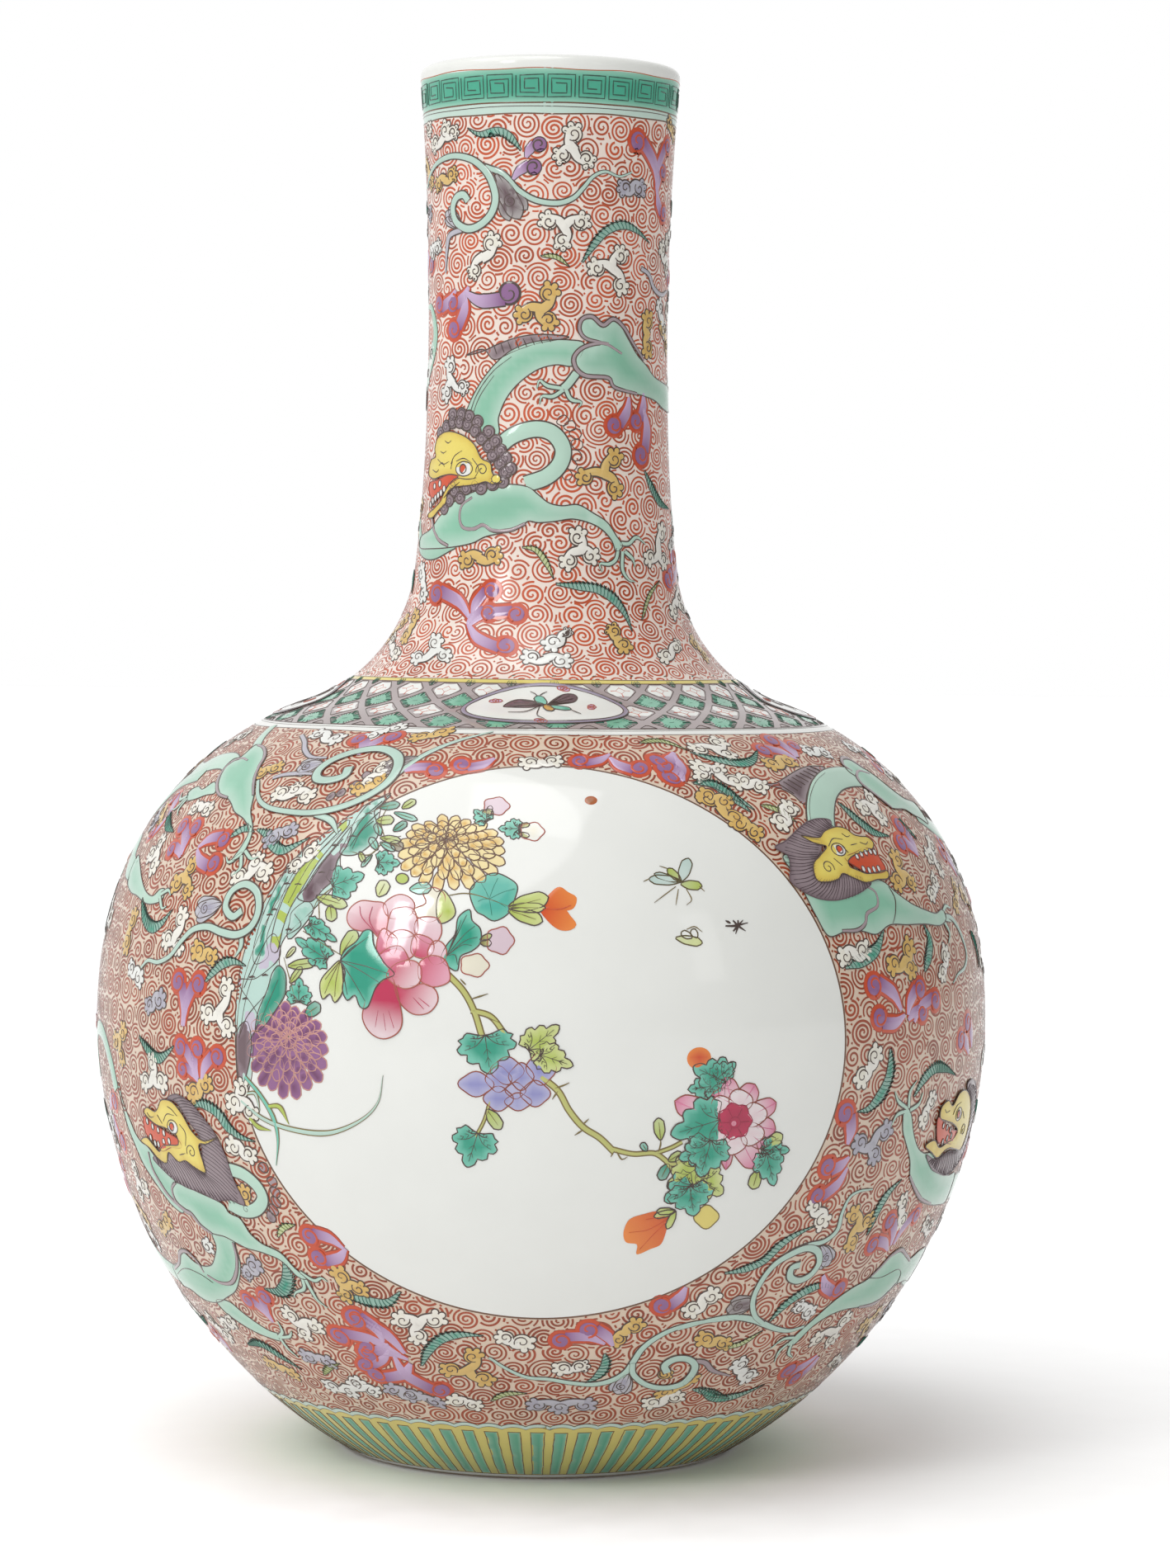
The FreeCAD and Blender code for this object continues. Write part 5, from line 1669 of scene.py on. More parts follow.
def left_low_dragon(art):
    """The dragon at the lower left: its head looks left and its tail winds under the panel."""
    c = LEFT_LOW
    beast(art, c, [(-68, 38), (-65, 31), (-60, 25), (-56, 20), (-51, 17), (-46, 16), (-40, 12), (-33, 7),
                   (-27, 3),
                   (-26, -3), (-29, -8.5), (-36, -6.5), (-42, -2), (-48, 3), (-54, 8), (-59, 15), (-64, 22),
                   (-67, 30), (-70, 37)], level=1)
    hem(art, c, [(-46, 14), (-45.5, 8), (-42, 3), (-37, -2), (-30, -6)], level=4)
    hair(art, c, [(-24, 37), (-18, 39), (-10, 37), (-3, 32), (3, 26), (7, 18), (9, 9), (12, 0), (5, 1),
                  (-3, 0),
                  (-11, 2), (-20, 3), (-28, 5), (-35, 8), (-42, 12), (-36, 14), (-28, 16), (-18, 14),
                  (-8, 11),
                  (-6, 18), (-6, 24), (-12, 30), (-18, 36)],
         [(-20, 37), (-12, 31), (-6, 24), (-6, 17), (-7, 11), (-14, 13), (-24, 14), (-34, 12), (-40, 14)],
         [(-12, 38), (-2, 31), (5, 22), (8, 11), (9, 1), (0, 0), (-10, 2), (-24, 4), (-38, 10)], 44)
    art.limb(c, [(-2, 12), (6, 13), (14, 12), (20, 8), (21.5, 3), (17, -1.5), (10, -3), (3, -1)], 5.0,
             BEAST, level=3)
    fins(art, c, [(23, 16), (26, 11), (26.5, 4), (23, -2)], 4.0, level=1)
    beast(art, c, [(-1, -1), (2, -4.5), (7, -6), (9, -9), (10.5, -12), (15, -15.5), (21, -17.5),
                   (24, -19.5),
                   (27, -24), (31, -28.5), (27, -28), (22, -22), (14, -19.5), (6, -18.5), (0, -16.5),
                   (-5, -15),
                   (-12, -14.5), (-18, -11.5), (-22, -7.5), (-28, -6.5), (-32, -2), (-31, 3), (-26, 4),
                   (-14, 2)],
          level=5)
    hem(art, c, [(-28, 4), (-32, 1), (-31.5, -4), (-26, -7), (-22, -8), (-18, -12), (-12, -14.8)], level=6)
    claws(art, c, [[(29, -26), (34, -29), (38, -27.5), (40, -29)],
                   [(29, -27), (28, -33), (23, -35.5), (21, -38)],
                   [(30, -27), (31, -34), (32, -38), (35, -41)]])
    beast(art, c, [(-12, -14), (-12.5, -20), (-16, -25), (-21, -29.5), (-28, -31), (-34, -30), (-40, -27),
                   (-46, -29), (-52, -33.5), (-62, -37), (-62, -45), (-52, -46), (-44, -48.5), (-36, -49),
                   (-28, -47.5), (-20, -44), (-12, -40), (-6, -34), (-1.5, -27), (-0.5, -20), (-1, -15)],
                   level=2)
    hem(art, c, [(-1, -17), (-2, -24), (-6, -31), (-12, -36), (-20, -37), (-27, -35)], level=4)
    hem(art, c, [(-60, -37.5), (-50, -33), (-44, -27.5), (-37, -26), (-31, -29.5), (-29, -34)], level=4)
    art.line(c, [(-60, -40), (-50, -36), (-42, -34.5), (-32, -35.5), (-25, -38)], 0.5, level=4)
    beast(art, c, [(-30, -47), (-20, -46), (-14, -50), (-8, -54), (-2, -57), (4, -58), (2, -61.5),
                   (-5, -61),
                   (-12, -59.5), (-20, -56.5), (-28, -52)], level=1)
    claws(art, c, [[(2, -59), (5.5, -56), (6, -51)], [(2, -60), (3, -65), (6, -69)],
                   [(2, -59.5), (8, -58), (11, -55)]])
    face(
        art, c, 9,
        mouth=[(-44, 28), (-36, 26), (-28, 24), (-20, 22), (-18, 19), (-26, 18), (-33, 16), (-39, 20),
               (-44, 21.5)],
        head=[(-43, 30), (-40, 32), (-34, 31), (-31, 33), (-28, 36), (-21, 36), (-15, 32), (-10, 26),
              (-4, 23), (4, 25), (-2, 22), (-7, 21), (-6, 14), (-6, 10.5), (-12, 12), (-17, 14), (-22, 13),
              (-28, 16), (-31, 11.5), (-37, 12.5), (-43, 16), (-50, 18), (-44, 20), (-39, 17.5),
              (-35, 15.5), (-32, 18), (-26, 19), (-20, 20), (-21, 24), (-28, 25.5), (-34, 26), (-40, 28)],
        teeth=((-40, 20.5), (-37, 18.6), (-34.5, 18.4), (-41, 26.6), (-37, 25), (-33, 24), (-29, 23.4),
               (-30, 20), (-26, 20.6)),
        eye=((-22, 26.5), (3.4, 2.6)),
        pupil=((-22.4, 26.5), (1.5, 1.5)),
        nostril=((-12, 18), 3.0, 200, -1),
        marks=([(-28, 28), (-25, 31), (-20, 31)], [(-40, 30), (-38, 28.5), (-35, 29)],
               [(-32, 30), (-29, 27)], [(-17, 28), (-14, 25), (-15, 20)], [(-24, 34), (-21, 33), (-18, 31)],
               [(-20, 16), (-16, 17)]),
    )


def left_high_dragon(art):
    """The haunch, arch and claws at the upper left, and the long scroll over them."""
    c = LEFT_HIGH
    art.limb(c, [(-84, 42), (-75, 42), (-66, 46), (-56, 48.5), (-46, 49), (-38, 46), (-32, 44)], 9.0, BEAST,
             level=1)
    art.limb(c, [(-42, 72), (-39, 64), (-33, 56)], 5.0, BEAST, level=1)
    beast(art, c, [(-36, 59), (-28, 58), (-22, 54), (-18, 48), (-15, 41), (-9, 33.5), (-5, 26), (1, 19),
                   (3, 13),
                   (2, 7), (-2, 5), (0, 11), (0, 17), (-6, 22), (-14, 25), (-20, 29), (-26, 31.5),
                   (-33, 32.5),
                   (-40, 38), (-44, 44), (-43, 50), (-38, 52)], level=4)
    hem(art, c, [(-34, 59), (-27, 57.5), (-21, 53), (-18.5, 47), (-15, 40.5), (-9, 33)], level=5)
    hem(art, c, [(-24, 31), (-32, 32.5), (-39, 37), (-43, 43), (-42, 48.5), (-36, 51), (-30, 50)], level=5)
    beast(art, c, [(-62, 32), (-56, 35), (-49, 34), (-43, 38), (-36, 33), (-42, 31.5), (-50, 29),
                   (-58, 28)], level=2)
    claws(art, c, [[(2, 8), (-3, 4), (-6, 6)], [(2, 7), (4, 2), (1, -1)], [(3, 9), (8, 6), (11, 7)],
                   [(-60, 30), (-66, 28), (-70, 31)], [(-60, 29), (-64, 24), (-68, 23)],
                   [(-58, 29), (-60, 24), (-57, 21)]])
    beast(art, c, [(-84, 2), (-74, -1), (-65, -6), (-56, -10.5), (-48, -12), (-43, -9), (-39, -9),
                   (-39, -13),
                   (-46, -15), (-54, -15), (-64, -13), (-74, -12), (-84, -8)], level=2)
    claws(art, c, [[(-41, -11), (-36, -9), (-33, -11)], [(-41, -12), (-37, -16), (-34, -15)]])
    tendril(art, c, [(-12, 40), (-5, 32), (3, 28), (14, 26.5), (26, 26.5), (37, 29.5), (45, 35), (49, 42),
                     (48, 50),
                     (43, 56.5), (34, 60), (25, 58), (18, 53), (15.5, 47), (18, 42.5), (24, 42), (29, 44.5),
                     (28, 49)],
            3.4, taper=(0.4, 1.0), level=6)
    tendril(art, c, [(49, 42), (51, 50), (54, 58), (60, 66), (69, 73)], 2.4, taper=(1.0, 0.4))
    tendril(art, c, [(28, 26), (36, 23.5), (42, 18)], 2.4, taper=(1.0, 0.3))
    tendril(art, c, [(-45, -39), (-40, -36), (-32, -36), (-24, -33), (-18, -27), (-12, -22.5), (-4, -21),
                     (4, -22.5),
                     (12, -23), (18, -20), (20, -14), (17, -7), (10, -4), (4, -7), (3, -13), (8, -16.5),
                     (12, -14)],
            2.8, taper=(0.4, 1.0), level=6)
    tendril(art, c, [(14, -22), (15, -27), (13, -31)], 2.0, taper=(1.0, 0.3))
    tendril(art, c, [(-12, 67), (-6, 63), (-1, 58), (6, 54), (14, 54)], 2.0, tint=SLATE_PALE)
    tendril(art, c, [(-5, 42), (0, 44), (8, 45), (15, 45)], 2.0, tint=SLATE_PALE)
    bud(art, c, (14, 51), (4, 47), 8.0, SLATE)
    bud(art, c, (52, 56), (42, 48), 7.0, MAUVE_DARK)
    bud(art, c, (0, -12), (-14, -16), 8.0, SLATE)
    fins(art, c, [(37, 47), (36, 42), (33, 38), (30, 36)], 3.4, level=2)


def right_high_dragon(art):
    """The dragon at the upper right: its yellow head looks right, under a tall arch."""
    c = RIGHT_HIGH
    art.shape(c, [(-24, 43), (-16, 40.5), (-11, 37), (-8, 32), (-3, 37), (4, 42.5), (12, 47), (19, 50),
                  (10, 51),
                  (1, 49), (-8, 45.5), (-16, 42.5)], MAUVE_BODY, MAUVE_DARK, level=1)
    for x in range(-12, 15, 3):
        art.line(c, [(x + 2, 37 + (x + 12) * 0.47), (x - 2, 42 + (x + 12) * 0.36)], 0.5, level=3)
    art.limb(c, [(-8, 16), (-4, 25), (1, 32), (8, 38.5), (17, 43), (27, 44.5), (38, 44)], 11.0, BEAST,
             level=2,
             taper=(1.2, 0.9))
    art.line(c, [(-11, 22), (-7, 30), (-1, 37), (7, 43), (16, 47)], 0.4, level=4)
    beast(art, c, [(34, 51.7), (38, 54), (43, 53.5), (48, 49), (54, 44), (61, 37), (70, 31.5), (84, 28),
                   (84, 19),
                   (74, 22), (67, 24), (60, 26.8), (48, 28), (42, 33), (36, 40), (35.5, 44), (33, 47)],
                   level=5)
    hem(art, c, [(50, 45), (42, 46.8), (36.5, 44), (36, 40), (41, 34.5), (48, 28)], level=6)
    hem(art, c, [(36, 47), (33.5, 50.5), (37, 54), (43, 53.5), (49, 48)], level=6)
    hair(art, c, [(0, 24), (-6, 25), (-13, 23.5), (-20, 20), (-27, 16), (-33, 13.5), (-29, 10), (-30, 5),
                  (-32, 0),
                  (-28, -4), (-22, -7), (-14, -8), (-6, -7), (2, -5), (8, -2), (0, 1), (-6, 2), (-14, -1),
                  (-19, 1),
                  (-18, 7), (-12, 12), (-9, 18), (-3, 20)],
         [(0, 21), (-8, 19), (-12, 14), (-15, 10), (-18, 6), (-18, 1), (-12, 0), (-6, 2), (0, 1), (6, -1)],
         [(-3, 25), (-13, 23.5), (-26, 16), (-31, 9), (-31, 3), (-29, -3), (-20, -7), (-10, -8), (0, -6),
          (7, -3)], 48,
         level=9)
    beast(art, c, [(-31, 10), (-29, 2), (-27, -6), (-25, -13), (-21, -21), (-13, -20), (-4, -20),
                   (4, -21.5),
                   (13, -18.5), (24, -19), (37, -19.5), (50, -20.8), (57, -18.5), (55, -15), (48, -16),
                   (38, -13.7),
                   (30, -11), (22, -6.5), (16, -2), (8, 0), (-10, 4), (-22, 10)], level=5, bleed=7.0)
    hem(art, c, [(5, -3.4), (9, -6), (8, -11), (1, -13.7), (-1, -17), (-6, -19.5), (-14, -19.5)], level=6)
    art.line(c, [(18, -4), (19.8, -9), (17.5, -14.6), (14.7, -18)], 0.5, level=8)
    tendril(art, c, [(55, -17.5), (64, -19), (71, -25), (75, -33), (70, -38), (61, -40), (55, -43)], 1.8,
            taper=(1.0, 0.3))
    claws(art, c, [[(54, -17), (60, -14), (65, -15)], [(54, -19), (58, -24), (55, -28)],
                   [(54, -18), (62, -20)]])
    face(
        art, c, 11,
        mouth=[(-2, 8), (5, 10), (11, 11.5), (17, 10.5), (18.5, 7), (19, 2), (9, 1.5), (3, 4)],
        head=[(-19, 18), (-14, 17), (-10, 17), (-6, 19.5), (1, 21), (6, 20), (8.5, 17.5), (12, 16.5),
              (16.5, 16), (18.5, 13.5), (16, 11), (10, 10), (4, 9), (-0.5, 7), (-1, 4.5), (3, 2.8),
              (7, 1.4), (13, 1.6), (20, 2), (19, -1), (12, -1.2), (5, -2), (-1, 0), (-6, 2), (-9, 0),
              (-15, -1), (-20, 0), (-19, 6), (-14, 9.5), (-9, 13), (-14, 14.5)],
        teeth=((5, 8.2), (8, 9), (11, 9.6), (14, 9.9), (16.5, 9.6), (6, 3.2), (9, 2.6), (12, 2.8), (15, 3)),
        eye=((-3.5, 11.5), (3.6, 2.6)),
        pupil=((-3.0, 11.5), (1.5, 1.6)),
        nostril=((-12.5, 4.5), 3.0, -20, 1),
        marks=([(-8, 13), (-4, 16), (1, 15.5)], [(2, 18), (4, 16.5), (6, 17)],
               [(10, 14), (13, 13), (15, 14)], [(-1, 13), (1, 10)], [(-8, 8), (-5, 5)],
               [(4, 13), (8, 13.5)]),
    )


def right_low_dragon(art):
    """The dragon at the lower right, whose head lies round the side, and its hind leg."""
    c = RIGHT_LOW
    tendril(art, c, [(-62, -47), (-52, -44), (-42, -43), (-32, -45), (-25, -48), (-18, -51), (-10, -53),
                     (-3, -52)],
            2.8, taper=(0.5, 0.5))
    tendril(art, c, [(-26, -47.5), (-32, -43), (-36, -36), (-36, -28), (-33, -21), (-27, -17), (-20, -15),
                     (-14, -17),
                     (-11, -22), (-13, -27), (-18, -29), (-23, -27), (-24, -23), (-20.5, -22)], 2.8,
                     taper=(0.6, 1.0),
            level=4)
    tendril(art, c, [(-28, -16.5), (-20, -14), (-12, -13), (-7, -9), (-7, -2), (-5, 4), (0, 6), (7, 6)],
            2.0,
            taper=(1.0, 0.3))
    bud(art, c, (-13, -15), (-5, -24), 7.0, SLATE)
    bud(art, c, (-34, -37), (-46, -39), 8.0, MAUVE_DARK)
    beast(art, c, [(84, -30), (70, -28), (58, -30), (50, -26), (44, -23.5), (37, -24), (31, -29), (24, -34),
                   (16, -36.5),
                   (8, -41), (1, -48), (-4, -54), (-7, -60), (-3, -61), (2, -53), (9, -48.5), (18, -47),
                   (28, -47.5),
                   (40, -48), (48, -46), (56, -42), (70, -42), (84, -44)], level=3, bleed=7.0)
    hem(art, c, [(60, -31), (50, -26.5), (43, -23.5), (36, -25), (31, -29), (26, -33)], level=4)
    hem(art, c, [(28, -47.5), (40, -48), (48, -46), (56, -41)], level=4)
    art.line(c, [(25, -33.5), (35, -34.5), (48, -33), (55, -36), (57, -41)], 0.5, level=5)
    claws(art, c, [[(-5, -58), (-9, -63), (-8, -69)], [(-5, -59), (-3, -65), (1, -68)],
                   [(-5, -57), (-11, -57), (-15, -61)]])
    beast(art, c, [(18, 37), (19, 28), (23, 22), (28, 15), (31, 8), (38, 2), (46, -3), (56, -6), (70, -8),
                   (84, -8),
                   (84, 3), (72, 4), (62, 6), (54, 10), (46, 16), (38, 17), (32, 20), (27, 26), (23, 34)],
                   level=3)
    hem(art, c, [(30, 9), (37, 3), (46, -2.5), (58, -6)], level=4)
    claws(art, c, [[(20, 36), (14, 39), (11, 43)], [(21, 36), (21, 42), (25, 46)],
                   [(22, 35), (28, 37), (30, 41)],
                   [(20, 35), (14, 34), (11, 30)]])
    hair(art, c, [(40, 16), (47, 10), (56, 7), (66, 5), (76, 6), (86, 10), (93, 18), (95, 27), (91, 36),
                  (82, 41),
                  (73, 40), (80, 33), (84, 25), (82, 17), (74, 14), (62, 15), (50, 13)],
         [(46, 14), (56, 15), (66, 15), (76, 14), (83, 19), (84, 26), (80, 33), (75, 37)],
         [(43, 13), (54, 8), (67, 5), (80, 8), (91, 17), (94, 28), (88, 37), (77, 40)], 40, level=8)
    face(
        art, c, 10,
        mouth=[(44, 30), (52, 27), (60, 24), (68, 22), (66, 18), (56, 19), (47, 21)],
        head=[(46, 34), (52, 36), (57, 33.5), (63, 37.5), (71, 38), (79, 34), (84, 27), (84, 19), (79, 14),
              (70, 15), (62, 16.5), (56, 16), (50, 14), (43, 17), (37, 20), (44, 21.5), (50, 18), (57, 19),
              (64, 20), (67, 23), (61, 26), (53, 28), (46, 30)],
        teeth=((50, 26.5), (54, 25.5), (58, 24), (52, 20), (56, 21), (60, 21.5)),
        eye=((65, 29.5), (3.6, 2.6)),
        pupil=((64.5, 29.5), (1.5, 1.6)),
        nostril=((75, 22), 3.2, 200, -1),
        marks=([(58, 30), (61, 33), (66, 34)], [(49, 33), (51, 31.5), (54, 32)], [(70, 30), (73, 27)]),
    )


def bottom_tendrils(art):
    """Tendrils that meet under the panel."""
    c = BOTTOM
    tendril(art, c, [(-18, -4), (-11, -10), (-4, -14), (4, -15), (12, -17), (20, -18), (27, -16), (32, -12),
                     (35, -6),
                     (38, 0), (43, 5), (50, 9), (60, 11.5), (74, 12)], 2.6, taper=(0.4, 0.5))
    tendril(art, c, [(34.5, -7), (35, -13), (40, -19), (47, -21.5), (54, -20), (58, -15), (59, -10),
                     (56, -6.5),
                     (51, -6), (47, -9), (48, -13)], 3.0, taper=(0.7, 1.0), level=4)
    tendril(art, c, [(57, -8), (63, -9), (67, -14), (75, -18)], 2.2, tint=MAUVE_BODY, taper=(1.0, 0.3))
    bud(art, c, (33, -13), (29, -24), 7.0, SLATE)


def body_scatter(art):
    """Clouds, leaves and fungus scrolls between the dragons."""
    scatter(
        art, LEFT_LOW,
        clouds={
            "ochre": (((-7, 41, 3.6), (0, 44, 3.2)), ((13, 4, 3.0), (12, -2, 2.2)),
                      ((47, -26, 3.6), (52, -31, 3.2), (46, -34, 3.0)), ((-16, -77, 3.4), (-6, -80, 3.4)),
                      ((-46, -14, 3.4), (-54, -18, 3.2)), ((-68, 54, 3.4), (-60, 58, 3.4), (-62, 49, 3.0))),
            "cream": (((15, 39, 3.6), (22, 36, 3.2), (19, 44, 3.2)), ((12, 22, 3.4), (19, 20, 3.0)),
                      ((-28, 43, 3.6), (-40, 42, 3.4), (-34, 49, 3.4)),
                      ((15, -47, 3.4), (24, -51, 3.4), (17, -55, 3.0)), ((-28, -57, 3.2), (-35, -60, 3.2)),
                      ((-60, -2, 3.4), (-66, 4, 3.2), (-68, -5, 3.2)), ((-40, -66, 3.4), (-48, -60, 3.2)),
                      ((-74, -58, 3.4), (-66, -62, 3.2))),
            "white": (((-19, -21, 3.2),), ((28, -79, 3.4), (14, -83, 3.4), (21, -85, 3.0)),
                      ((-80, -22, 3.4), (-74, -28, 3.2))),
            "slate": (((6, -26, 3.6), (1, -30, 2.8)), ((12, -68, 3.4), (20, -69, 3.2)),
                      ((48, -83, 3.6), (56, -86, 3.2))),
        },
        leaves=(([(-10, 35), (-3, 36.5), (5, 34), (10, 29), (16, 26), (23, 25)], 5),
                ([(-44, 58), (-38, 54), (-30, 51), (-24, 53), (-18, 57)], 5),
                ([(23, -22), (21, -30), (15, -36), (7, -36)], 7),
                ([(-24, -68), (-14, -66), (-6, -70), (3, -76)], 5)),
        sprigs=([(24, -12), (28, -8), (34, -6)], [(14, -77), (20, -72), (26, -69)]),
        scrolls=((((-14, 57), (-6, 47), 4.6), ((-4, 57), (-4, 46), 4.4), ((7, 55), (-2, 46), 4.4),
                  ((-13, 49), (-4, 45), 3.6)),
                 (((39, -10), (52, -14), 4.4), ((40, -19), (53, -14), 4.4)),
                 (((-6, -43), (3, -52), 4.2), ((5, -40), (3, -52), 4.2)),
                 (((45, -45), (58, -60), 5.6), ((34, -54), (56, -61), 5.2), ((42, -62), (58, -63), 5.0),
                  ((40, -73), (58, -65), 4.8)),
                 (((-66, -72), (-54, -76), 4.8), ((-56, -68), (-52, -78), 4.6)),
                 (((-76, 14), (-84, 24), 4.8), ((-78, 30), (-88, 26), 4.6))),
    )
    scatter(
        art, LEFT_HIGH,
        clouds={
            "slate": (((14, 15, 3.6), (20, 18, 3.0)), ((-29, -50, 3.6), (-36, -52, 3.0))),
            "cream": (((5, 35, 3.4), (18, 34, 3.4), (11, 37, 2.8)), ((42, 49, 3.2), (41, 42, 2.8)),
                      ((-57, 0, 3.8), (-64, 4, 3.4), (-60, 9, 3.0)), ((-44, 25, 3.2), (-34, 25, 3.2)),
                      ((5, -1, 3.4), (16, 1, 3.6), (11, 5, 3.0)),
                      ((-22, -19, 3.6), (-28, -27, 3.4), (-20, -29, 3.0)),
                      ((10, -43, 3.4), (2, -52, 3.4), (12, -56, 3.4)), ((-70, 60, 3.4), (-62, 64, 3.2)),
                      ((34, 10, 3.2), (30, 5, 2.8))),
            "white": (((8, 66, 3.6), (-3, 68, 3.2)), ((-47, -43, 3.4), (-54, -40, 3.0)),
                      ((24, 68, 3.2), (30, 74, 3.0))),
            "ochre": (((50, 72, 3.4), (44, 69, 3.0)), ((-14, 44, 3.4), (-8, 47, 3.0)),
                      ((-25, 1, 3.2), (-31, -6, 3.6), (-23, -8, 3.0)), ((-61, -22, 3.6), (-63, -31, 3.8)),
                      ((-7, -30, 3.6), (0, -32, 3.0)), ((-82, 22, 3.4), (-76, 16, 3.2))),
        },
        leaves=(([(4, 18), (10, 16), (15, 12), (22, 10), (31, 16)], 5),
                ([(-57, -14), (-50, -21), (-42, -24), (-35, -22), (-29, -16)], 5.5),
                ([(-1, -41), (6, -35), (12, -33), (19, -34)], 4.5), ([(-9, 14), (-3, 18), (3, 17)], 4),
                ([(-70, 22), (-62, 16), (-52, 14)], 5)),
        scrolls=((((20, 66), (27, 56), 4.4), ((33, 68), (27, 57), 4.4)),
                 (((-46, 17), (-37, 5), 4.8), ((-35, 17), (-36, 5), 4.8), ((-46, 7), (-36, 4), 4.2)),
                 (((-12, 13), (-26, 9), 4.4), ((-12, 3), (-26, 8), 4.6)),
                 (((-17, -42), (-13, -58), 4.8), ((-5, -42), (-12, -58), 4.8))),
    )
    scatter(
        art, RIGHT_HIGH,
        clouds={
            "cream": (((-36, 62, 3.2), (-25, 66, 3.4), (-26, 59, 3.0)), ((-42, 51, 3.6), (-33, 44, 3.6)),
                      ((-17, 30, 3.4), (-24, 25, 3.6)), ((26, 29, 3.6), (35, 33, 3.6), (34, 25, 3.4)),
                      ((-14, -29, 3.4), (-5, -27, 3.6)), ((62, 6, 3.4), (70, 10, 3.4), (68, 1, 3.2)),
                      ((50, -32, 3.4), (46, -38, 3.0)), ((56, -4, 3.2), (50, -8, 3.0))),
            "white": (((19, 60, 3.2), (28, 58, 3.2)), ((60, 60, 3.4), (68, 56, 3.2))),
            "ochre": (((-9, 53, 3.4), (0, 54, 3.6)), ((-50, 35, 3.2), (-43, 27, 3.6)),
                      ((31, 6, 3.6), (26, -2, 3.6), (35, -3, 3.0)),
                      ((22, -28, 3.8), (12, -33, 3.6), (22, -35, 3.4)), ((80, -8, 3.4), (74, -14, 3.2))),
        },
        leaves=(([(-41, 60), (-35, 56), (-25, 53), (-17, 55), (-10, 61)], 5),
                ([(-51, 43), (-43, 42), (-38, 36), (-33, 30)], 5),
                ([(11, 32), (16, 24), (23, 18), (33, 16)], 5),
                ([(-15, -33), (-5, -31), (3, -27), (9, -20)], 6),
                ([(32, -37), (37, -31), (39, -25), (36, -19)], 6), ([(56, 14), (48, 22), (52, 12)], 4)),
        sprigs=([(-57, 66), (-48, 67), (-41, 61)], [(-29, 32), (-22, 29), (-17, 24)]),
        scrolls=((((-57, 55), (-48, 60), 4.4), ((-58, 46), (-49, 58), 4.4)),
                 (((-7, 61), (6, 55), 4.4), ((3, 67), (7, 56), 4.6), ((12, 63), (8, 56), 4.0)),
                 (((-1, -40), (14, -50), 5.2), ((1, -52), (16, -52), 4.8), ((27, -43), (18, -52), 4.8),
                  ((28, -52), (18, -54), 4.2), ((38, -48), (22, -55), 4.6)),
                 (((46, 20), (50, 8), 4.8), ((40, 13), (50, 7), 4.6)),
                 (((70, 48), (80, 42), 4.6), ((78, 54), (84, 44), 4.6))),
    )
    scatter(
        art, RIGHT_LOW,
        clouds={
            "ochre": (((0, -4, 3.4), (9, -7, 3.4), (4, -15, 3.4)),
                      ((46, -60, 3.6), (54, -56, 3.4), (54, -64, 3.2)), ((-44, -74, 3.2), (-50, -80, 3.2))),
            "slate": (((-5, 25, 3.6), (8, 28, 3.6), (4, 20, 3.4)), ((70, -56, 3.6), (76, -62, 3.2))),
            "cream": (((-17, -4, 3.6), (-22, 2, 3.0)), ((-2, 57, 3.6), (-8, 50, 3.6)),
                      ((31, -2, 3.2), (35, -10, 3.4)), ((34, 31, 3.4), (38, 37, 3.0)),
                      ((22, -53, 3.6), (11, -60, 3.6), (21, -62, 3.6)), ((40, -78, 3.4), (48, -82, 3.2)),
                      ((70, -18, 3.6), (62, -15, 3.2))),
            "white": (((-5, -45, 3.2), (-11, -42, 2.8)), ((-25, -68, 3.4), (-17, -75, 3.6))),
        },
        leaves=(([(-53, -23), (-45, -22), (-38, -19), (-33, -13), (-27, -9), (-19, -6)], 4.5),
                ([(-23, -47), (-19, -40), (-12, -35), (-4, -33), (3, -35)], 5),
                ([(24, 40), (31, 46), (39, 49), (48, 48), (58, 45)], 5),
                ([(7, 59), (7, 50), (3, 43), (-3, 38), (-9, 37)], 6),
                ([(12, -13), (14, -4), (18, 3), (25, 8)], 5),
                ([(-36, -80), (-25, -87), (-15, -87), (-4, -82)], 5),
                ([(60, -70), (68, -74), (78, -72)], 5)),
        sprigs=([(-39, -58), (-31, -57), (-24, -51)],),
        scrolls=((((7, -36), (-6, -28), 4.8),),
                 (((-15, 37), (-12, 25), 5.2), ((-20, 17), (-10, 20), 4.6), ((-22, 6), (-10, 16), 4.4)),
                 (((25, -9), (32, -20), 4.6), ((18, -18), (31, -22), 4.6), ((46, -9), (34, -20), 4.4)),
                 (((5, -76), (18, -70), 5.2), ((14, -82), (20, -71), 4.6)),
                 (((62, 58), (72, 52), 4.8), ((70, 64), (76, 54), 4.8))),
    )
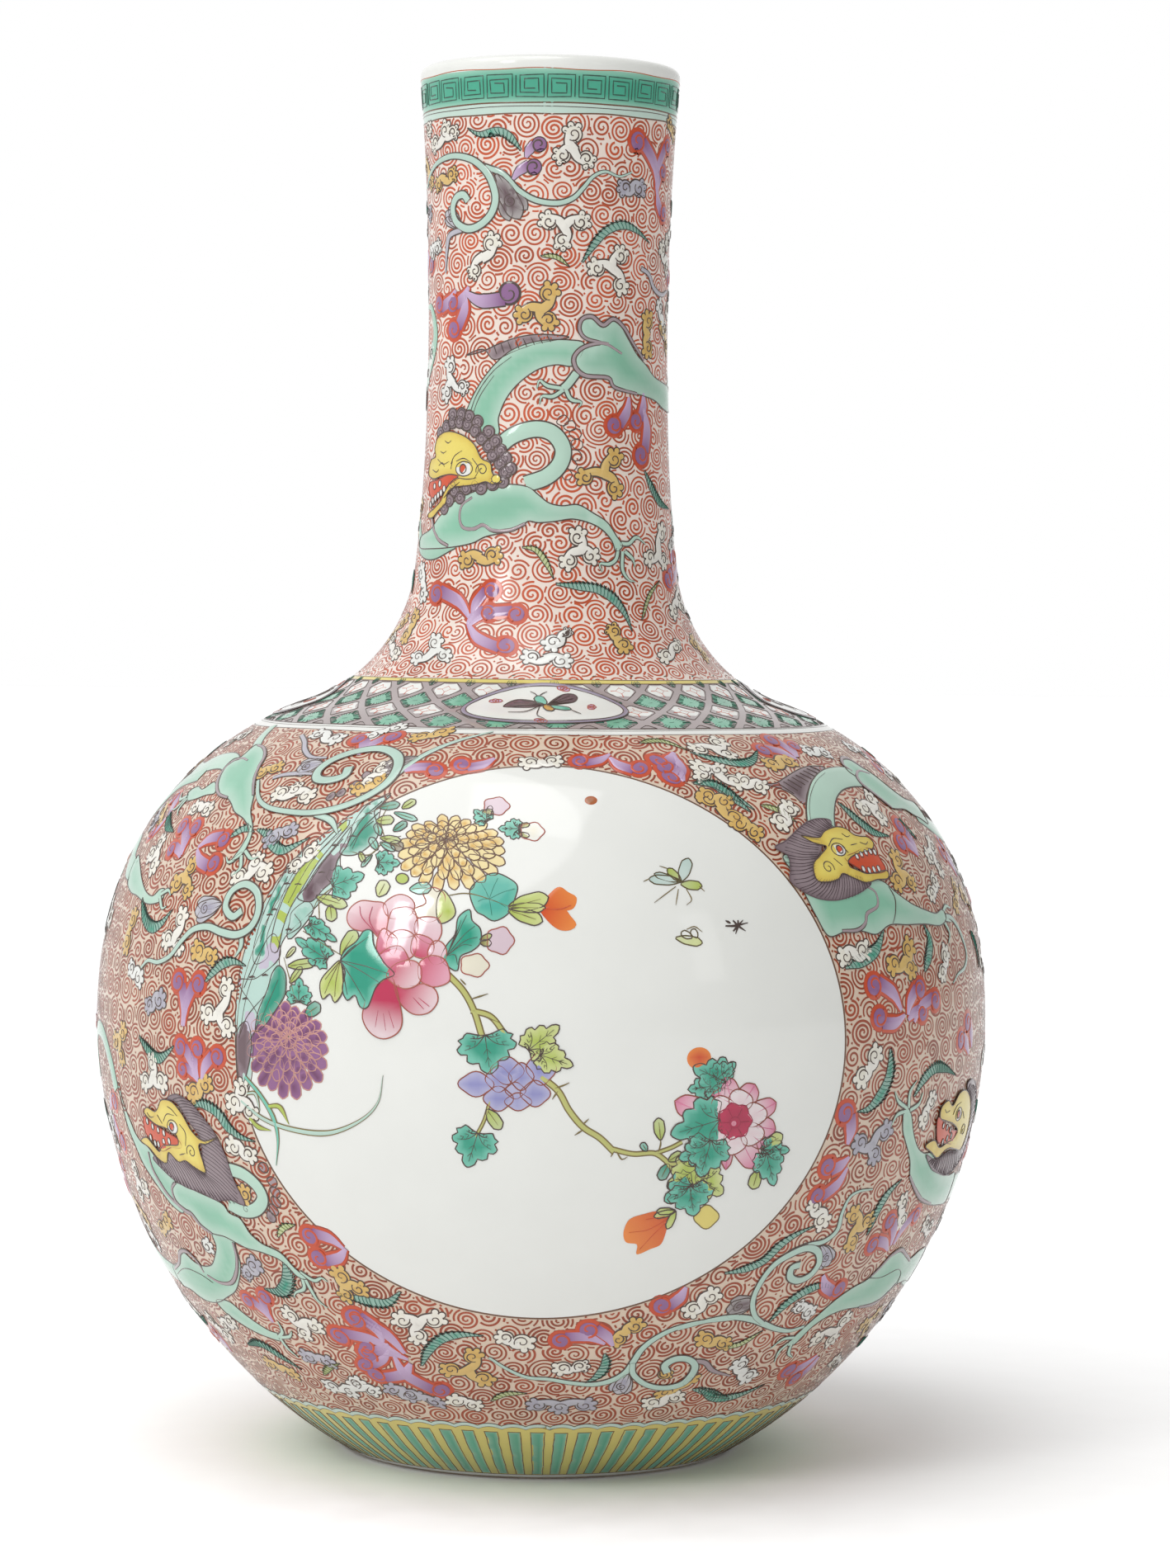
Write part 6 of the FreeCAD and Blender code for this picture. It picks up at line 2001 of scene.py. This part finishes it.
    scatter(
        art, BOTTOM,
        clouds={
            "ochre": (((-24, -4, 3.4), (-32, -11, 3.4), (-20, -15, 3.6)), ((35, 11, 3.2), (29, 5, 3.0)),
                      ((47, -14, 2.6),), ((63, 3, 3.6), (70, 0, 3.2))),
            "slate": (((-48, -27, 3.6), (-55, -25, 3.2)), ((0, -30, 3.4), (8, -31, 3.4), (17, -30, 3.6))),
            "cream": (((-6, 4, 3.8), (-12, 6, 3.0)), ((9, -9, 3.2), (15, -8, 2.8)),
                      ((-50, 12, 3.6), (-38, 13, 3.6), (-44, 5, 3.4)), ((-30, -29, 3.4), (-24, -31, 3.0)),
                      ((57, 18, 3.4), (64, 23, 3.4)), ((43, -30, 3.4), (52, -28, 3.2))),
            "white": (((-71, -24, 3.4), (-64, -27, 3.0)),),
        },
        leaves=(([(-43, -10), (-40, -2), (-35, 4), (-28, 6.5), (-20, 6.5)], 5),
                ([(24, -2), (24, -8), (21, -14), (17, -17)], 4.5),
                ([(-51, 25), (-56, 20), (-63, 20), (-76, 22)], 5), ([(59, -24), (66, -27), (76, -32)], 5)),
        sprigs=([(-17, -28), (-12, -24), (-4, -23)],),
        scrolls=((((-70, 12), (-58, 1), 4.8), ((-65, -3), (-56, 0), 4.4), ((-66, -12), (-56, -3), 4.6),
                  ((-36, -23), (-54, -6), 4.8)),
                 (((8, 5), (24, 3), 4.4), ((18, 10), (27, 2), 4.6)), (((45, 20), (54, 28), 4.6),)),
    )
    scatter(
        art, PANEL_CHART,
        clouds={
            "ochre": (((61, 97, 3.4), (68, 94, 3.0)), ((74, 84, 3.4), (80, 80, 3.0)),
                      ((-62, 103, 3.4), (-70, 99, 3.0))),
            "cream": (((60, 107, 3.2), (66, 110, 3.0)), ((77, 104, 3.4), (84, 101, 3.2)),
                      ((-5, 114, 3.2), (3, 115, 3.0))),
        },
        leaves=(([(56, 103), (64, 102), (71, 96), (79, 89)], 5),),
        scrolls=((((35, 111), (24, 117), 4.4), ((45, 112), (52, 104), 4.6), ((13, 115), (24, 119), 4.0)),
                 (((-30, 112), (-18, 116), 4.4), ((-40, 109), (-52, 108), 4.4))),
    )


def side_bodies(art):
    """Stretches of body and tail that join the figures of the front to those of the back."""
    for chart, path, width, taper in (
        (SIDE_HIGH, [(-46, 25), (-28, 17), (-8, 14), (10, 22), (26, 36), (46, 42)], 9.0, (1.0, 1.0)),
        (SIDE_HIGH, [(46, -4), (34, -2), (24, 5), (13, 6), (6, -1), (9, -9)], 8.0, (1.1, 0.2)),
        (SIDE_LOW, [(-50, -3), (-28, -4), (-8, -13), (14, -28), (38, -38), (72, -41)], 9.5, (1.1, 0.9)),
        (SIDE_LOW, [(-48, -37), (-32, -41), (-18, -38), (-8, -44), (4, -42)], 9.0, (1.3, 0.15)),
        (SIDE_LOW, [(62, 35), (57, 46), (45, 55), (29, 55), (18, 46), (22, 36)], 6.0, (1.1, 0.2)),
        (Chart(90, 420), [(-19, -11), (-5, -8), (9, 0), (17, 12), (12, 23), (2, 24)], 6.5, (1.1, 0.2)),
        (Chart(90, 320), [(40, 34), (27, 30), (14, 33), (3, 44), (-8, 47)], 5.5, (0.9, 0.2)),
    ):
        art.limb(chart, path, width, mix(BEAST, BEAST_DEEP, 0.5), level=1, taper=taper)
    fins(art, SIDE_HIGH, [(-26, 22), (-8, 20), (8, 27), (22, 40)], 3.6, level=0)
    fins(art, SIDE_LOW, [(-26, 2), (-8, -6), (12, -20), (34, -31)], 3.6, level=0)


def side_scatter(art):
    """Clouds, leaves and fungus scrolls round the side."""
    scatter(
        art, SIDE_HIGH,
        clouds={
            "cream": (((-30, 44, 3.6), (-20, 40, 3.4), (-24, 49, 3.2)),
                      ((24, -20, 3.6), (33, -24, 3.4), (26, -29, 3.2)), ((-30, -38, 3.4), (-22, -42, 3.4))),
            "ochre": (((2, 40, 3.4), (8, 46, 3.4)), ((-38, -12, 3.6), (-30, -17, 3.4)),
                      ((-6, -26, 3.6), (2, -31, 3.4), (-7, -33, 3.2))),
            "white": (((-16, 2, 3.6), (-26, 0, 3.4), (-20, -6, 3.2)),),
            "slate": (((28, 20, 3.4), (34, 16, 3.2)),),
        },
        leaves=(([(-12, 52), (-4, 55), (6, 54), (14, 49)], 5.0),
                ([(14, -10), (8, -16), (10, -24), (18, -30)], 5.0),
                ([(-46, -26), (-40, -32), (-40, -40)], 5.0)),
        scrolls=((((-42, 6), (-34, -4), 4.4), ((-34, 10), (-33, -2), 4.4)),
                 (((38, 28), (50, 20), 4.4), ((44, 12), (50, 19), 4.2)),
                 (((-14, -14), (-4, -8), 4.8), ((0, -16), (-2, -6), 4.8), ((4, -2), (-4, -6), 4.4))),
    )
    scatter(
        art, SIDE_LOW,
        clouds={
            "cream": (((-30, 46, 3.6), (-20, 50, 3.4)), ((-30, -18, 3.6), (-22, -22, 3.4)),
                      ((16, -52, 3.4), (26, -56, 3.4), (18, -60, 3.2))),
            "ochre": (((-6, 30, 3.6), (3, 34, 3.4), (0, 25, 3.2)), ((40, -14, 3.6), (48, -18, 3.4)),
                      ((-2, -74, 3.4), (8, -78, 3.2))),
            "white": (((34, 18, 3.6), (44, 22, 3.4), (42, 13, 3.2)), ((-26, -58, 3.4), (-16, -62, 3.4))),
            "slate": (((8, 4, 3.4), (14, -2, 3.2)),),
        },
        leaves=(([(-44, 24), (-36, 28), (-26, 26), (-18, 20)], 5.0),
                ([(12, 20), (20, 24), (28, 22), (32, 16)], 5.0), ([(-12, -30), (-4, -34), (-2, -42)], 4.5),
                ([(34, -60), (42, -64), (50, -60)], 5.0), ([(-44, -70), (-36, -74), (-26, -72)], 5.0)),
        scrolls=((((-6, 54), (6, 62), 5.0), ((4, 50), (8, 62), 4.8), ((14, 56), (8, 64), 4.4)),
                 (((-36, 10), (-26, 14), 4.8), ((-16, 8), (-26, 15), 4.8)),
                 (((24, -8), (32, -2), 4.8), ((38, 4), (32, -4), 4.6)),
                 (((-4, -58), (4, -66), 4.8), ((10, -66), (2, -68), 4.4))),
    )
    scatter(
        art, Chart(90, 320),
        clouds={
            "cream": (((-14, 10, 3.2), (-6, 6, 3.0)),),
            "ochre": (((12, -4, 3.2), (18, 2, 3.0)),),
        },
        leaves=(([(-2, 22), (6, 20), (12, 14)], 4.0),),
        scrolls=((((-22, 20), (-14, 26), 4.2), ((-10, 30), (-16, 27), 4.0)),),
    )
    scatter(
        art, Chart(90, 420),
        clouds={
            "cream": (((-10, 50, 3.2), (-2, 54, 3.2)),),
            "ochre": (((8, 78, 3.2), (14, 72, 3.0)),),
            "white": (((-12, 16, 3.2), (-18, 24, 3.0)),),
        },
        leaves=(([(-6, 66), (0, 62), (8, 62)], 4.0),),
        scrolls=((((12, 40), (4, 46), 4.4), ((-6, 36), (4, 44), 4.4)),),
    )


dragons = Painting("body_dragons", "turquoise_enamel")
left_low_dragon(dragons)
left_high_dragon(dragons)
right_high_dragon(dragons)
right_low_dragon(dragons)
bottom_tendrils(dragons)
side_bodies(dragons)
dragons.finish()

ornaments = Painting("body_clouds", "white_reserve_glaze")
body_scatter(ornaments)
side_scatter(ornaments)
ornaments.finish()


# ---------------------------------------------------------------- butterflies in the small reserves

def butterfly(art, chart):
    """One butterfly and four sprigs of small petals."""
    for outline, rim, middle in (
        ([(0, 5), (-5, 9), (-11, 10), (-15, 7), (-17, 3), (-15, 2), (-6, 2)], MAUVE_DARK, AUBERGINE),
        ([(1, 5), (4, 11), (8, 15), (12, 15), (13.5, 12), (12, 8), (7, 6), (2, 5)], MAUVE_DARK, AUBERGINE),
    ):
        art.shape(chart, outline, rim, middle, level=6)
        root = np.array(outline[0], float)
        for spot in outline[2:6]:
            end = root + (np.array(spot, float) - root) * 0.85
            art.line(chart, [root, (root + end) / 2 + 0.2, end], 0.4, level=8)
    art.petal(chart, (0, 4), (-3, 13.5), 4.5, TEAL_PALE, TEAL, level=7, bleed=1.5)
    art.petal(chart, (1, 4), (11, 0), 4.0, TEAL_PALE, TEAL, level=7, bleed=1.5)
    art.petal(chart, (0, 5), (3, -2), 3.6, OCHRE, YELLOW, level=9, bleed=1.2)
    for path in ([(-3, 13), (-4, 15), (-6, 16.5)], [(-2, 13.5), (-1, 15), (1, 16.5)],
                 [(-2, 3), (-8, -3), (-15, -4)],
                 [(-2, 3), (-3, -6), (0, -10)], [(11, -1), (13, -3), (15, -5)]):
        art.line(chart, path, 0.45, level=9)
    for x, y, turn in ((-20, 7, 100), (7, 18, 60), (18, 3, 0), (-1, -10, 250)):
        for spread in (-45, 0, 45):
            angle = math.radians(turn + spread)
            tip = (x + 3.4 * math.cos(angle), y + 3.4 * math.sin(angle))
            art.petal(chart, (x, y), tip, 2.6, LILAC, PINK_PALE, line=PETAL_LINE, level=6, bleed=1.0)


butterflies = Painting("reserve_butterflies", "white_reserve_glaze")
for quarter in range(2):
    butterfly(butterflies, Chart(90 * quarter, 290, size=0.9))
butterflies.finish()

# ---------------------------------------------------------------- floor, light and camera

FLOOR_SIZE = 30.0
LIGHT_AIM = 0.25            # the height that the soft boxes are aimed at
SUN_STRENGTH = 1.42
SUN_SPREAD = 60.0           # a wide sun stands for the light of the whole room
SUN_TILT = 30.0
SUN_TURN = -50.0
CAMERA_PLACE = (0.0, -1.68, 0.328)
CAMERA_DOWN = 2.35
CAMERA_RIGHT = 0.55
CAMERA_LEAN = 0.56
SENSOR_HEIGHT = 24.0        # in millimetres, as is the lens
LENS = 65.7
VIEW_END = 50.0


def hang(name, data):
    """Puts a light or the camera in the scene."""
    item = bpy.data.objects.new(name, data)
    bpy.context.scene.collection.objects.link(item)
    return item


def soft_light(name, azimuth, elevation, distance, width, height, glow):
    """A soft box aimed at the belly. Its azimuth counts from the front to the right, glow is its radiance."""
    data = bpy.data.lights.new(name, "AREA")
    data.shape = "RECTANGLE"
    data.size, data.size_y = width, height
    data.energy = glow * math.pi * width * height
    turn, rise = math.radians(azimuth), math.radians(elevation)
    direction = Vector((math.sin(turn) * math.cos(rise), -math.cos(turn) * math.cos(rise), math.sin(rise)))
    light = hang(name, data)
    light.location = Vector((0, 0, LIGHT_AIM)) + direction * distance
    light.rotation_euler = direction.to_track_quat("Z", "Y").to_euler()


def lay_floor():
    """A pale floor, wide enough to meet the horizon."""
    bpy.ops.mesh.primitive_plane_add(size=FLOOR_SIZE, location=(0, 0, 0))
    floor = bpy.context.object
    floor.name = "floor"
    floor.data.materials.append(porcelain("floor_white", (0.97, 0.97, 0.97), 0.7, 0.01, 0.0))


def light_room():
    """A white room, brightest at the back and along the horizon, and darker on the right."""
    world = bpy.data.worlds.new("studio")
    world.use_nodes = True
    tree = world.node_tree
    direction = add_node(tree, "TexCoord", {}).outputs["Generated"]
    split = add_node(tree, "SeparateXYZ", {"Vector": direction}).outputs
    back = map_range(tree, split["Y"], (-0.3, 0.6), (0.62, 1.0))
    horizon = map_range(tree, split["Z"], (0.25, 0.5), (1.0, 0.6))
    right = map_range(tree, split["X"], (0.2, 0.9), (1.0, 0.45))
    brighter = add_node(tree, "Math", {0: back, 1: horizon}, "MAXIMUM").outputs["Value"]
    shaded = add_node(tree, "Math", {0: brighter, 1: right}, "MULTIPLY").outputs["Value"]
    backdrop = tree.nodes["Background"]
    backdrop.inputs["Color"].default_value = (1, 1, 1, 1)
    tree.links.new(shaded, backdrop.inputs["Strength"])
    bpy.context.scene.world = world


def light_vase():
    """A wide sun from the front left, a strong soft box on the left, and weak ones on the right and above."""
    data = bpy.data.lights.new("room_light", "SUN")
    data.energy = SUN_STRENGTH
    data.angle = math.radians(SUN_SPREAD)
    hang("room_light", data).rotation_euler = (math.radians(SUN_TILT), 0, math.radians(SUN_TURN))
    soft_light("key_light", azimuth=-38, elevation=27, distance=2.0, width=0.32, height=0.7, glow=10.0)
    soft_light("fill_light", azimuth=42, elevation=20, distance=2.2, width=0.3, height=0.8, glow=0.9)
    soft_light("top_light", azimuth=-10, elevation=75, distance=2.2, width=0.9, height=0.9, glow=1.6)


def camera():
    """Level with the root of the neck, a little over three vase heights away."""
    data = bpy.data.cameras.new("camera")
    data.sensor_fit = "VERTICAL"
    data.sensor_height = SENSOR_HEIGHT
    data.lens = LENS
    data.clip_end = VIEW_END
    eye = hang("camera", data)
    right = Matrix.Rotation(math.radians(-CAMERA_RIGHT), 4, "Z")
    down = Matrix.Rotation(math.radians(90 - CAMERA_DOWN), 4, "X")
    lean = Matrix.Rotation(math.radians(CAMERA_LEAN), 4, "Z")
    eye.matrix_world = Matrix.Translation(CAMERA_PLACE) @ right @ down @ lean
    bpy.context.scene.camera = eye


lay_floor()
light_room()
light_vase()
camera()
bpy.context.scene.view_settings.view_transform = "Standard"
